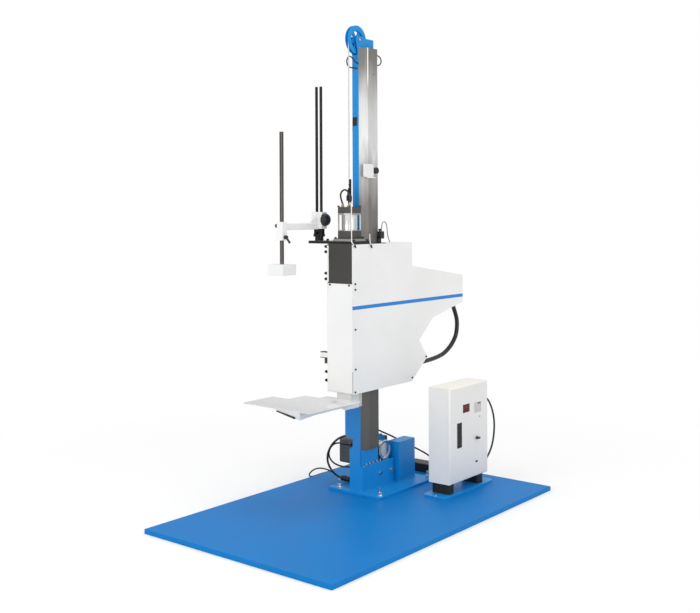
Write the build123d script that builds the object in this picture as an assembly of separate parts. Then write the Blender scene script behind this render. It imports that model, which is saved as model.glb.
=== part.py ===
from build123d import *
from math import cos, hypot, pi, radians, sin, tan
import os

# Package drop tester: a column on a floor plate, a carriage that a winch lifts, a swinging table,
# a hold-down mast and a separate control box.
# Millimetres. X runs to the right, Y to the back, Z up, and the origin is under the middle of the base plate.

# Base plate
base_width = 1000.0
base_length = 1600.0
base_thick = 20.0
base_edge = 2.0

# Column
column_x = -146.0
column_front = 151.0
tube_width = 40.0
tube_depth = 112.0
tube_wall = 6.0
tube_top = 2034.0
profile_wide = 22.0
profile_bevel = 41.0
profile_wall = 2.5
profile_low = 216.0
profile_top = 2068.0

# Foot
flange_width = 300.0
flange_shift = 6.0
flange_front = 120.0
flange_back = 560.0
flange_thick = 12.0
plate_gauge = 6.0
foot_half = 38.0
foot_box_back = 386.0
foot_box_top = 144.0
foot_left_top = 250.0
wide_post_left = 64.0
wide_post_low = 274.0
wide_post_top = 425.0
notch_low = 218.0
notch_in = 19.0
cheek_thick = 6.0
ledge_bolts = 5
ledge_pitch = 27.0
side_bolt_height = 90.0
flange_bolt_inset = 31.0
bolt_shift = 8.0
stud_tall = 34.0

# Head and lifting rope
sheave_y = 155.0
sheave_lift = 68.0
sheave_radius = 66.0
sheave_width = 18.0
sheave_windows = 5
rope_radius = 3.0
rope_pitch = 52.0
pulley_pitch = 30.0
pulley_radius = 34.0
pulley_width = 14.0
drum_y = 330.0
drum_pitch = 38.0
drum_flange = 46.0
drum_length = 46.0
drum_turns = 6
head_rise = 10.0
cheek_gauge = 6.0
axle_radius = 6.0
gap = 0.4
running = 0.05

# Winch
motor_half = 60.0
motor_length = 96.0
gearbox_size = 128.0
gearbox_length = 66.0
winch_z = 168.0
gearbox_back = 436.0
shaft_radius = 10.0
cover_front = 392.0
cover_back = 522.0
cover_top = 218.0
cover_right = -82.0
cover_wide = 64.0

# Carriage housing
housing_left = -221.0
housing_right = -73.0
housing_front = 33.0
housing_low = 495.0
housing_top = 1166.0
housing_back = 493.0
housing_step = 1051.0
wing_back = 941.0
wing_top = 986.0
wing_low = 848.0
cover_gauge = 2.0
frame_gauge = 5.0
frame_inset = 7.0
left_standoff = 8.0
ear_reach = 45.0
right_standoff = 2.0
face_low = 990.0
face_thick = 6.0
deck_thick = 13.0
deck_left = -334.0
deck_back = 170.0
roller_radius = 16.0
roller_width = 30.0
front_roller_heights = (640.0, 1110.0)
rear_roller_heights = (700.0, 1110.0)
truck_gauge = 6.0
truck_depth = 30.0
truck_low = 600.0
truck_neck = 960.0

conduit_x = -112.0
conduit_radius = 11.0
conduit_end = (588.0, 568.0)
gland_length = 22.0

# Swinging table
pivot_y = 880.0
pivot_z = 915.0
pivot_radius = 15.0
hub_radius = 24.0
arm_gauge = 6.0
arm_right = -95.0
arm_left = -176.0
arm_front = 46.0
hanger_low = 428.0
hanger_back = 104.0
table_top_z = 470.0
table_gauge = 5.0
table_front = -298.0
table_right = -38.0
table_steps = ((-430.0, -110.0), (-328.0, -5.0), (-236.0, 45.0))
keel_left = -256.0

# Release cylinder
cylinder_x = -140.0
cylinder_y = 97.0
cap_wide = 76.0
cap_deep = 84.0
cap_tall = 37.0
cylinder_tall = 142.0
barrel_radius = 36.0
bore_radius = 31.5
rod_radius = 8.0
rod_low = 906.0
cylinder_foot = 12.0
socket_top = 1420.0

# Hold-down
mast_x = -294.0
mast_y = 65.0
mast_spacing = 26.5
mast_rod = 6.5
mast_top = 1891.0
boom_z = 1247.5
boom_wide = 24.0
boom_tall = 29.0
holder_wide = 62.0
holder_deep = 40.0
holder_low = 1236.0
holder_top = 1313.0
pad_y = -189.0
pad_side = 90.0
pad_tall = 48.0
pad_low = 1034.0
bar_side = 14.0
bar_top = 1669.0
clamp_side = 34.0
clamp_low = 1188.0
clamp_top = 1270.0
lever_z = 1202.0
knob_z = 1277.0

# Limit block on the column
block_low = 1472.0
block_top = 1532.0
block_front = 154.0
block_back = 216.0
block_thick = 12.0
limit_knob_place = (234.0, 1503.0)
switch_deep = 28.0
switch_tall = 34.0

# Control box
box_left = 122.0
box_right = 240.0
box_front = 344.0
box_back = 668.0
box_low = 75.0
box_top = 510.0
lid_thick = 20.0
box_plate_thick = 9.0
box_plate_margin = 4.0
red_y, red_z = (box_front + 109.0, box_front + 158.0), (390.0, 420.0)
keypad_y, keypad_z = (box_front + 204.0, box_front + 263.0), (372.0, 420.0)
display_y, display_z = (box_front + 56.0, box_front + 98.0), (231.0, 346.0)
key_place = (box_front + 223.0, 254.0)
lamp_place = (box_front + 251.0, 350.0)
jack_y, jack_z = (box_front + 212.0, box_front + 232.0), (139.0, 148.0)

# Cables on the floor plate
connector_x = (-306.0, -252.0)
connector_y = 236.0
connector_z = 45.5
coil_place = (-435.0, 900.0)
coil_ring = 44.0
coil_thick = 16.0


def block(x, y, z):
    """A box from three (low, high) pairs."""
    size = [pair[1] - pair[0] for pair in (x, y, z)]
    middle = [(pair[0] + pair[1]) / 2 for pair in (x, y, z)]
    return Pos(*middle) * Box(*size)


def around(middle, width):
    """The (low, high) pair of a width about its middle."""
    return middle - width / 2, middle + width / 2


def rod(start, end, radius):
    """A round bar between two points."""
    start, end = Vector(*start), Vector(*end)
    across = Plane(origin=start, z_dir=end - start)
    return across * Cylinder(radius, (end - start).length, align=(Align.CENTER, Align.CENTER, Align.MIN))


def ring(start, end, radius, bore):
    """A round tube between two points."""
    return rod(start, end, radius) - rod(start, end, bore)


def plate_yz(points, x, radius=0.0):
    """A plate with an outline in Y and Z, between two values of X."""
    face = make_face(Polyline(*[(x[0], y, z) for y, z in points], close=True))
    solid = extrude(face, x[1] - x[0], dir=(1, 0, 0))
    if radius:
        solid = fillet(solid.edges().filter_by(Axis.X), radius)
    return solid


def plate_xz(points, y, radius=0.0):
    """A plate with an outline in X and Z, between two values of Y."""
    face = make_face(Polyline(*[(x, y[0], z) for x, z in points], close=True))
    solid = extrude(face, y[1] - y[0], dir=(0, 1, 0))
    if radius:
        solid = fillet(solid.edges().filter_by(Axis.Y), radius)
    return solid


def plate_xy(points, z, radius=0.0):
    """A plate with an outline in X and Y, between two values of Z."""
    face = make_face(Polyline(*[(x, y, z[0]) for x, y in points], close=True))
    solid = extrude(face, z[1] - z[0], dir=(0, 0, 1))
    if radius:
        solid = fillet(solid.edges().filter_by(Axis.Z), radius)
    return solid


def hex_bolt(seat, direction, radius, head, length):
    """A hex-head bolt with a washer: the seat is under the washer, the direction points out of the head."""
    seat, direction = Vector(*seat), Vector(*direction)
    plane = Plane(origin=seat, z_dir=direction)
    low = (Align.CENTER, Align.CENTER, Align.MIN)
    washer = plane * Cylinder(radius * 2.1, radius * 0.3, align=low)
    crown = plane * Pos(0, 0, radius * 0.3) * extrude(RegularPolygon(radius * 1.8, 6), head)
    shank = Plane(origin=seat, z_dir=-direction) * Cylinder(radius, length, align=low)
    return washer + crown + shank


def cap_screw(seat, direction, radius, length):
    """A socket-head screw with its head on the seat."""
    seat, direction = Vector(*seat), Vector(*direction)
    low = (Align.CENTER, Align.CENTER, Align.MIN)
    head = Plane(origin=seat, z_dir=direction) * Cylinder(radius * 1.6, radius * 1.8, align=low)
    socket = Plane(origin=seat + direction * radius * 1.0, z_dir=direction) * extrude(RegularPolygon(radius * 0.8, 6), radius)
    shank = Plane(origin=seat, z_dir=-direction) * Cylinder(radius, length, align=low)
    return head - socket + shank


def bend_radii(points):
    """For each inner point of a route, the largest arc that its two runs allow."""
    radii = []
    for a, b, c in zip(points, points[1:], points[2:]):
        run_in, run_out = Vector(*b) - Vector(*a), Vector(*c) - Vector(*b)
        turn = radians(run_in.get_angle(run_out))
        radii.append(0.45 * min(run_in.length, run_out.length) / tan(turn / 2))
    return radii


def cord(name, points, radius):
    """A cord as a tube along straight runs joined by tangent arcs."""
    radii = bend_radii(points)
    path = FilletPolyline(*points, radius=radii)
    section = Plane(origin=path @ 0, z_dir=path % 0) * Circle(radius)
    solid = sweep(section, path=path)
    share = solid.volume / (pi * radius ** 2 * path.length)
    print(f"{name}: {path.length:.0f} mm long, least bend {min(radii):.0f} mm, volume share {share:.3f}")
    return solid


# Places that several pieces share
deck_low = housing_top + 2.0
deck_high = deck_low + deck_thick
tube_x = around(column_x, tube_width)
tube_y = (column_front, column_front + tube_depth)
tube_inner_x = (tube_x[0] + tube_wall, tube_x[1] - tube_wall)
tube_inner_y = (tube_y[0] + tube_wall, tube_y[1] - tube_wall)
flange_top = base_thick + flange_thick
flange_middle = column_x + flange_shift
foot_x = (column_x - foot_half, column_x + foot_half)
sheave_z = tube_top + sheave_lift
head_top = sheave_z + head_rise
rope_front = sheave_y - rope_pitch
rope_rear = sheave_y + rope_pitch
pulley_y = rope_rear + pulley_pitch
drum_z = 190.0
rope_low = drum_z - drum_pitch
pulley_z = rope_low + pulley_pitch
frame_x = (housing_left + cover_gauge + left_standoff, housing_right - cover_gauge - right_standoff)
frame_inner = (frame_x[0] + frame_gauge, frame_x[1] - frame_gauge)
arm_right_x = (arm_right - arm_gauge, arm_right)
arm_left_x = (arm_left, arm_left + arm_gauge)
front_roller_y = tube_y[0] - gap - roller_radius
rear_roller_y = tube_y[1] + gap + roller_radius
truck_x = (column_x - roller_width / 2 - 1 - truck_gauge, column_x + roller_width / 2 + 1 + truck_gauge)
cap_low = deck_high + cylinder_foot
cap_high = cap_low + cylinder_tall
profile_x = (tube_x[1], tube_x[1] + profile_wide)
profile_face = profile_x[1]
box_plate_top = base_thick + box_plate_thick
rear_cheek_back = tube_y[1] + 4 + truck_depth
switch_front = tube_y[1] - 10
gland_plate_z = (wing_low + 2, wing_low + 8)
conduit_top = (908.0, gland_plate_z[0] - gland_length)
housing_outline = [
    (housing_front, housing_low), (housing_front, housing_top), (housing_back, housing_top),
    (housing_back, housing_step), (wing_back, wing_top), (wing_back, wing_low), (668, 789), (550, 688),
    (618, 600), (486, housing_low + 2),
]


def make_base_plate():
    plate = block((-base_width / 2, base_width / 2), (-base_length / 2, base_length / 2), (0, base_thick))
    plate = chamfer(plate.edges().group_by(Axis.Z)[-1], base_edge)
    for x, y in flange_bolt_places() + box_plate_bolt_places():
        plate -= rod((x, y, base_thick - 14), (x, y, base_thick), 6.0)
    return plate


def flange_bolt_places():
    half = flange_width / 2 - flange_bolt_inset
    return [(flange_middle + bolt_shift + side * half, y) for side in (-1, 1)
            for y in (flange_front + flange_bolt_inset, flange_back - flange_bolt_inset)]


def box_plate_bolt_places():
    middle = (box_left + box_right) / 2
    return [(middle, box_front - 34), (middle, box_back + 34)]


def make_foot_weldment():
    """Flange, front plate with the cable notch, box sides, ledge and the cheek beside the column."""
    flange = block(around(flange_middle, flange_width), (flange_front, flange_back), (base_thick, flange_top))
    for x, y in flange_bolt_places():
        flange -= rod((x, y, base_thick), (x, y, flange_top), 6.0)
    front_y = (column_front - plate_gauge, column_front)
    left, right = foot_x
    post_left = column_x - wide_post_left
    post_right = column_x + tube_width / 2 + 3
    front = plate_xz([
        (left, flange_top), (right, flange_top), (right, foot_box_top), (post_right, foot_box_top),
        (post_right, wide_post_top), (post_left, wide_post_top), (post_left, wide_post_low),
        (left + notch_in, wide_post_low - 4), (left + notch_in, notch_low + 14), (left, notch_low),
    ], front_y)
    stiffener = block((post_left, post_left + plate_gauge), (column_front, tube_y[1]), (wide_post_low, wide_post_top))
    web_z = (wide_post_low, wide_post_low + plate_gauge)
    web = block((post_left, tube_x[0]), (column_front, tube_y[1]), web_z)
    side_right = block((right - plate_gauge, right), (column_front, foot_box_back), (flange_top, foot_box_top))
    side_left = plate_yz([
        (column_front, flange_top), (412, flange_top), (412, foot_left_top - 30), (382, foot_left_top),
        (column_front + 90, foot_left_top), (column_front, notch_low),
    ], (left, left + plate_gauge))
    side_left -= rod((left, drum_y, drum_z), (left + plate_gauge, drum_y, drum_z), shaft_radius + 12)
    ledge_x = (tube_x[1], right - plate_gauge)
    ledge = block(ledge_x, (column_front, foot_box_back), (foot_box_top - plate_gauge, foot_box_top))
    ledge -= block((tube_x[1], right), (drum_y - drum_flange - 4, foot_box_back), (foot_box_top - 8, foot_box_top))
    cheek_top = profile_low - gap
    cheek_back = column_front + 127
    cheek = plate_yz([
        (column_front + 2, foot_box_top), (cheek_back, foot_box_top), (cheek_back, cheek_top - 6),
        (tube_y[1], cheek_top), (column_front + 2, cheek_top),
    ], (tube_x[1], tube_x[1] + cheek_thick))
    return flange + front + stiffener + web + side_right + side_left + ledge + cheek


def make_column_tube():
    """Steel box tube, open at both ends, with a slot for the rope behind the return pulley."""
    tube = block(tube_x, tube_y, (flange_top, tube_top))
    tube = fillet(tube.edges().filter_by(Axis.Z), 4.0)
    tube -= block(tube_inner_x, tube_inner_y, (flange_top, tube_top))
    slot_z = (rope_low - 10, pulley_z + pulley_radius + 6)
    tube -= block(around(column_x, pulley_width + 4), (tube_inner_y[1] - 1, tube_y[1]), slot_z)
    pulley_bore = rod((tube_x[0], pulley_y, pulley_z), (tube_x[1], pulley_y, pulley_z), axle_radius)
    return tube - pulley_bore


def profile_outline(inset):
    """Section of the bevelled guide profile in X and Y."""
    left, right = profile_x[0] + inset, profile_x[1] - inset
    front, back = tube_y[0] + inset, tube_y[1] - inset
    return [(left, front + 1.5 * inset), (left, back), (right, back), (right, tube_y[0] + profile_bevel)]


def make_guide_profile():
    outer = plate_xy(profile_outline(0), (profile_low, profile_top))
    inner = plate_xy(profile_outline(profile_wall), (profile_low, profile_top - 3))
    shell = outer - inner
    for z in head_cable_heights():
        shell -= rod((profile_x[0] + 11, tube_y[1] - 8, z), (profile_x[0] + 11, tube_y[1] + 1, z), 3.0 + gap / 2)
    return shell


def head_cable_heights():
    return (profile_top - 74.0, profile_top - 24.0)


def make_head_bracket():
    """Two cheeks on top of the tube, closed at the back and over the rear."""
    outline = [(tube_y[0], tube_top), (tube_y[1], tube_top), (tube_y[1], head_top), (sheave_y + 41, head_top),
               (sheave_y + 12, sheave_z + 18), (sheave_y - 14, sheave_z + 14), (sheave_y - 20, sheave_z)]
    bracket = Part()
    for x in (tube_x[0], tube_x[1] - cheek_gauge):
        bracket += plate_yz(outline, (x, x + cheek_gauge))
    bracket += block(tube_x, (tube_y[1] - cheek_gauge, tube_y[1]), (tube_top, head_top))
    bracket += block(tube_x, (sheave_y + sheave_radius + 4, tube_y[1]), (head_top - cheek_gauge, head_top))
    return bracket - rod((tube_x[0], sheave_y, sheave_z), (tube_x[1], sheave_y, sheave_z), axle_radius)


def grooved_wheel(y, z, radius, pitch, width):
    """A rope wheel about X: rim with a round groove, web, hub and bore."""
    x = around(column_x, width)
    wheel = rod((x[0], y, z), (x[1], y, z), radius)
    groove = Pos(column_x, y, z) * Rot(0, 90, 0) * Torus(pitch, rope_radius + gap)
    opening_out = radius - pitch + 1
    flare = Plane(origin=(column_x, y, z), x_dir=(0, 0, 1), z_dir=(0, 1, 0))
    section = flare * make_face(Polyline(
        (pitch - 1, -(rope_radius + gap)), (pitch + opening_out, -(width / 2 - 2)),
        (pitch + opening_out, width / 2 - 2), (pitch - 1, rope_radius + gap), close=True))
    channel = revolve(section, Axis((column_x, y, z), (1, 0, 0)), 360)
    bore = rod((x[0], y, z), (x[1], y, z), axle_radius + running)
    return wheel - groove - channel - bore


def make_head_sheave():
    """The big wheel with windows between its spokes and a thinner web."""
    wheel = grooved_wheel(sheave_y, sheave_z, sheave_radius, rope_pitch, sheave_width)
    x = around(column_x, sheave_width)
    web_out = rope_pitch - rope_radius - 6
    hub = 15.0
    for side in ((x[0], x[0] + 5), (x[1] - 5, x[1])):
        wheel -= ring((side[0], sheave_y, sheave_z), (side[1], sheave_y, sheave_z), web_out, hub)
    inner, outer = 20.0, web_out - 3
    half = radians(360 / sheave_windows / 2 - 11)
    for turn in range(sheave_windows):
        middle = 2 * pi * turn / sheave_windows
        corners = [(r, middle + s * half * k) for r, s, k in
                   ((inner, -1, 0.6), (outer, -1, 1), (outer / cos(half), 0, 1), (outer, 1, 1), (inner, 1, 0.6))]
        points = [(sheave_y + r * sin(a), sheave_z + r * cos(a)) for r, a in corners]
        window = plate_yz(points, x, 3.0)
        reach = rod((x[0], sheave_y, sheave_z), (x[1], sheave_y, sheave_z), outer)
        wheel -= window & reach
    return wheel


def make_return_pulley():
    return grooved_wheel(pulley_y, pulley_z, pulley_radius, pulley_pitch, pulley_width)


def make_winch_drum():
    """Drum with two flanges, the wound rope on it, and the shaft that enters the gearbox."""
    x = (column_x - drum_length / 2, column_x + drum_length / 2)
    barrel = rod((x[0], drum_y, drum_z), (x[1], drum_y, drum_z), drum_pitch - rope_radius - gap)
    for edge in ((x[0] - 4, x[0]), (x[1], x[1] + 5)):
        barrel += rod((edge[0], drum_y, drum_z), (edge[1], drum_y, drum_z), drum_flange)
    dish = Plane(origin=(x[1] + 5, drum_y, drum_z), z_dir=(-1, 0, 0))
    barrel -= dish * Cone(drum_flange - 6, drum_flange - 14, 3, align=(Align.CENTER, Align.CENTER, Align.MIN))
    first = column_x - (drum_turns - 1) / 2 * 2 * rope_radius
    for turn in range(drum_turns):
        place = first + turn * 2 * rope_radius
        if abs(place - column_x) > rope_radius * 1.5:
            barrel += Pos(place, drum_y, drum_z) * Rot(0, 90, 0) * Torus(drum_pitch - 1, rope_radius - 0.2)
    shaft_end = foot_x[0] - 30
    return barrel + rod((shaft_end, drum_y, drum_z), (x[0] - 4, drum_y, drum_z), shaft_radius)


def make_winch_gearbox():
    """Right-angle free, inline gearbox with a round pilot, bored for the drum shaft."""
    right = foot_x[0] - gap
    x = (right - gearbox_length, right)
    y = (drum_y - gearbox_size / 2, gearbox_back)
    body = block(x, y, around(winch_z, gearbox_size))
    body = fillet(body.edges().filter_by(Axis.X), 10.0)
    body += rod((right - 14, drum_y, drum_z), (right, drum_y, drum_z), 34.0)
    for dy in (-1, 1):
        for dz in (-1, 1):
            corner = (drum_y + 21 + dy * 72, winch_z + dz * 50)
            body -= rod((right - 6, *corner), (right, *corner), 6.0)
    return body - rod((foot_x[0] - 32, drum_y, drum_z), (right, drum_y, drum_z), shaft_radius + running)


def make_winch_motor():
    """Square-bodied motor with a round end bell, and the cable gland on its front."""
    right = foot_x[0] - gap - gearbox_length
    left = right - motor_length
    body = block((left, right), around(drum_y, 2 * motor_half), around(winch_z, 2 * motor_half))
    body = fillet(body.edges().filter_by(Axis.X), 12.0)
    for side in (-1, 1):
        slot_y = around(drum_y + side * motor_half, 5.0)
        for z in (winch_z - 30, winch_z - 10, winch_z + 10):
            body -= block((left + 12, right - 12), slot_y, around(z, 5.0))
    bell = rod((left - 6, drum_y, winch_z), (left, drum_y, winch_z), motor_half - 10)
    x, y, z = gland_place()
    nut = Plane(origin=(x, drum_y - motor_half, z), z_dir=(0, -1, 0)) * extrude(RegularPolygon(12, 6), 10)
    return body + bell + nut + rod((x, y + 14, z), (x, y, z), 8.0)


def gland_place():
    """The mouth of the motor's cable gland."""
    return foot_x[0] - gap - gearbox_length - 20, drum_y - motor_half - 24, winch_z + 38


def make_winch_cover():
    """Folded box over the brake and wiring beside the winch, open underneath."""
    x = (cover_right - cover_wide, cover_right)
    outer = block(x, (cover_front, cover_back), (flange_top, cover_top))
    outer = fillet(outer.edges().filter_by(Axis.Z), 2.0)
    inner = block((x[0] + 2, x[1] - 2), (cover_front + 2, cover_back - 2), (flange_top, cover_top - 2))
    return outer - inner


def make_frame_fasteners():
    """Foot bolts, side bolts, ledge screws, profile screws, control box plate screws and the two wheel pins."""
    parts = []
    for x, y in flange_bolt_places():
        stud = rod((x, y, base_thick - 14), (x, y, flange_top + stud_tall), 6.0)
        parts.append(hex_bolt((x, y, flange_top), (0, 0, 1), 6.0, 11.0, 24.0) + stud)
    right = foot_x[1]
    for y in (278.0, 366.0):
        parts.append(hex_bolt((right, y, side_bolt_height), (1, 0, 0), 5.0, 5.5, plate_gauge + 8))
    for number in range(ledge_bolts):
        y = column_front + 14 + number * ledge_pitch
        if y < drum_y - drum_flange - 8:
            parts.append(cap_screw((tube_x[1] + cheek_thick + 3.4, y, foot_box_top), (0, 0, 1), 2.0, 5.0))
    for x, y in box_plate_bolt_places():
        parts.append(cap_screw((x, y, box_plate_top), (0, 0, 1), 5.0, 20.0))
    for z in (700.0, 1611.0, 1950.0):
        parts.append(rod((profile_face - profile_wall, tube_y[1] - 28, z), (profile_face, tube_y[1] - 28, z), 3.0))
    for y, z in ((pulley_y, pulley_z), (sheave_y, sheave_z)):
        parts.append(rod((tube_x[0] - 5, y, z), (tube_x[1] + 5, y, z), axle_radius))
    return Compound(children=parts)


def make_rope_rear():
    """The fixed shape of the rope: drum, return pulley, up inside the tube, and over the sheave."""
    quarter = pulley_pitch
    over = rope_pitch - 0.02
    high = sheave_z + rope_pitch
    path = FilletPolyline(
        (column_x, drum_y, rope_low), (column_x, rope_rear, rope_low), (column_x, rope_rear, high),
        (column_x, rope_front, high), (column_x, rope_front, sheave_z), radius=[quarter, over, over])
    return sweep(Plane(origin=path @ 0, z_dir=path % 0) * Circle(rope_radius), path=path)


def make_rope_front():
    """The free run of the rope, from the sheave down to its socket on the carriage."""
    return rod((column_x, rope_front, socket_top), (column_x, rope_front, sheave_z), rope_radius)


def make_carriage_frame():
    """Two side plates, the dark front face, the closing plates and the cheeks that carry the rollers."""
    face = housing_front + cover_gauge + gap
    under_cover = housing_top - cover_gauge - gap
    outline = [
        (face + 12, housing_low + frame_inset), (face, housing_low + frame_inset + 12), (face, deck_low),
        (deck_back - 2, deck_low), (deck_back - 2, under_cover), (housing_back - frame_inset, under_cover),
        (housing_back - frame_inset, housing_step - frame_inset), (wing_back - frame_inset, wing_top - frame_inset),
        (wing_back - frame_inset, wing_low + frame_inset), (666, 789 + frame_inset), (540, 688), (606, 600),
        (480, housing_low + frame_inset),
    ]
    frame = Part()
    for x in (frame_x[0], frame_inner[1]):
        frame += plate_yz(outline, (x, x + frame_gauge))
    frame += block(frame_x, (housing_front, housing_front + face_thick), (face_low, deck_low))
    rear_z = (960.0, under_cover)
    frame += block(frame_inner, (rear_cheek_back, rear_cheek_back + face_thick), rear_z)
    frame += block(frame_inner, (housing_back - 20, housing_back - 14), (1005, under_cover))
    frame += block(frame_inner, (wing_back - 20, wing_back - 14), (wing_low + 10, wing_top - 18))
    frame += block(frame_inner, (wing_back - 76, wing_back - 20), gland_plate_z)
    frame += block(frame_inner, (556, 562), (548, 600))
    front_outline = [
        (housing_front + face_thick, truck_neck), (housing_front + face_thick, deck_low),
        (column_front - 3, deck_low), (column_front - 3, truck_low), (column_front - 3 - truck_depth, truck_low),
        (column_front - 3 - truck_depth, truck_neck - 30), (column_front - 3 - truck_depth - 30, truck_neck),
    ]
    rear_outline = [
        (tube_y[1] + 4, truck_low + 60), (tube_y[1] + 4, under_cover), (rear_cheek_back, under_cover),
        (rear_cheek_back, truck_low + 60),
    ]
    for x in (truck_x[0], truck_x[1] - truck_gauge):
        frame += plate_yz(front_outline, (x, x + truck_gauge))
        frame += plate_yz(rear_outline, (x, x + truck_gauge))
    for heights, y in ((front_roller_heights, front_roller_y), (rear_roller_heights, rear_roller_y)):
        for z in heights:
            frame -= rod((truck_x[0] - 1, y, z), (truck_x[1] + 1, y, z), axle_radius)
    for x in (frame_x[0], frame_inner[1]):
        frame += ring((x - 0, pivot_y, pivot_z), (x + frame_gauge, pivot_y, pivot_z), pivot_radius + 14, pivot_radius)
        frame -= rod((x - 1, pivot_y, pivot_z), (x + frame_gauge + 1, pivot_y, pivot_z), pivot_radius)
    frame -= rod((conduit_x, conduit_top[0], gland_plate_z[0]), (conduit_x, conduit_top[0], gland_plate_z[1]), 8.0)
    frame -= rod((conduit_x, 556, conduit_end[1]), (conduit_x, 562, conduit_end[1]), 8.0)
    return frame


def make_deck():
    """Thick top plate: carries the mast, the cylinder and the rope, with a notch for the column."""
    deck = block((deck_left, housing_right), (housing_front, deck_back), (deck_low, deck_high))
    deck = chamfer(deck.edges().filter_by(Axis.Z), 2.0)
    notch_x = (tube_x[0] - 5, profile_face + 16)
    deck -= block(notch_x, (tube_y[0] - 3.5, deck_back), (deck_low, deck_high))
    deck -= rod((cylinder_x, cylinder_y, deck_low), (cylinder_x, cylinder_y, deck_high), rod_radius + 2)
    return deck - rod((mast_x, mast_y, deck_low), (mast_x, mast_y, deck_high), 12.0)


def make_side_cover(right):
    """Flat white cover with the shape of the housing, bent back along its front edge."""
    if right:
        plate = plate_yz(housing_outline, (housing_right - cover_gauge, housing_right))
        return fillet(plate.edges().filter_by(Axis.X).sort_by(Axis.Y)[:1], 0.5)
    x = (housing_left, housing_left + cover_gauge)
    plate = plate_yz(housing_outline, x)
    plate += block((x[0], frame_x[0] - 0.5), (housing_front, housing_front + cover_gauge), (face_low + 4, housing_top - 6))
    ear = block((housing_left - ear_reach, housing_left), (36, 58), (649, 671))
    ear -= block((housing_left - ear_reach, housing_left - 6), (36, 39), (656, 664))
    return plate + ear + block((housing_left - 23, housing_left - 16), (43, 50), (622, 650))


def make_front_cover():
    """White cover below the dark face, with a rounded lower edge and a short return."""
    x = (housing_left + cover_gauge + gap, housing_right - cover_gauge - gap)
    lip = 10.0
    bend = 9.0
    outer = block(x, (housing_front, housing_front + lip), (housing_low, face_low - 1))
    outer = fillet(outer.edges().filter_by(Axis.X).sort_by(Axis.Y)[:2].sort_by(Axis.Z)[0], bend)
    inner = block(x, (housing_front + cover_gauge, housing_front + lip), (housing_low + cover_gauge, face_low - 1))
    inner = fillet(inner.edges().filter_by(Axis.X).sort_by(Axis.Y)[:2].sort_by(Axis.Z)[0], bend - cover_gauge)
    return outer - inner


def make_rear_cover():
    """One folded sheet: over the top behind the deck, down the back, along the wing and down its end."""
    x = (housing_left + cover_gauge, housing_right - cover_gauge)
    g = cover_gauge
    run = [
        (deck_back + 2, housing_top), (housing_back, housing_top), (housing_back, housing_step), (wing_back, wing_top),
        (wing_back, wing_low), (wing_back - g, wing_low), (wing_back - g, wing_top - 0.8 * g),
        (housing_back - g, housing_step - 0.8 * g), (housing_back - g, housing_top - g), (deck_back + 2, housing_top - g),
    ]
    sheet = plate_yz(run, x)
    opening_x = (tube_x[0] - 5, profile_face + 24.5)
    return sheet - block(opening_x, (deck_back, rear_cheek_back + 10), (housing_top - g, housing_top))


def make_carriage_fasteners():
    """Cover screws, deck screws, roller axles, the table pivot pin and the gland nuts of the conduit."""
    parts = []
    right = housing_right
    for y, z in ((52, 1160), (170, 1155), (52, 989), (52, 964), (52, 785), (52, 607), (49, 505), (606, 602), (488, 514)):
        parts.append(cap_screw((right, y, z), (1, 0, 0), 2.5, right_standoff + cover_gauge))
    left = housing_left
    for y, z in ((46, 1155), (46, 1131), (46, 1033), (46, 1007), (46, 583), (46, 544)):
        parts.append(hex_bolt((left, y, z), (-1, 0, 0), 4.0, 6.0, cover_gauge + left_standoff))
    for x in (frame_x[0] + 8, frame_x[1] - 14):
        parts.append(cap_screw((x, housing_front, face_low - 7), (0, -1, 0), 2.5, cover_gauge + gap))
    for x, y in ((-314, 150), (-240, 150), (-240, 60), (-84, 60), (-84, 156)):
        parts.append(cap_screw((x, y, deck_high), (0, 0, 1), 3.5, 8.0))
    for x in (cylinder_x - 48, cylinder_x + 48):
        for y in (cylinder_y - 42, cylinder_y + 36):
            parts.append(cap_screw((x, y, cap_low), (0, 0, 1), 3.2, cylinder_foot))
    for heights, y in ((front_roller_heights, front_roller_y), (rear_roller_heights, rear_roller_y)):
        for z in heights:
            parts.append(rod((truck_x[0] - 1, y, z), (truck_x[1] + 1, y, z), axle_radius))
    parts.append(rod((frame_x[0] - 4, pivot_y, pivot_z), (frame_x[1] + 1, pivot_y, pivot_z), pivot_radius))
    top = Pos(conduit_x, conduit_top[0], conduit_top[1])
    parts.append(top * extrude(RegularPolygon(17, 6), gland_length))
    end = Plane(origin=(conduit_x, conduit_end[0] - 26, conduit_end[1]), z_dir=(0, 1, 0))
    parts.append(end * extrude(RegularPolygon(17, 6), 32))
    return Compound(children=parts)


def make_roller(y, z):
    x = around(column_x, roller_width)
    roller = rod((x[0], y, z), (x[1], y, z), roller_radius)
    roller = fillet(roller.edges().filter_by(GeomType.CIRCLE), 1.5)
    return roller - rod((x[0], y, z), (x[1], y, z), axle_radius + running)


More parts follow.
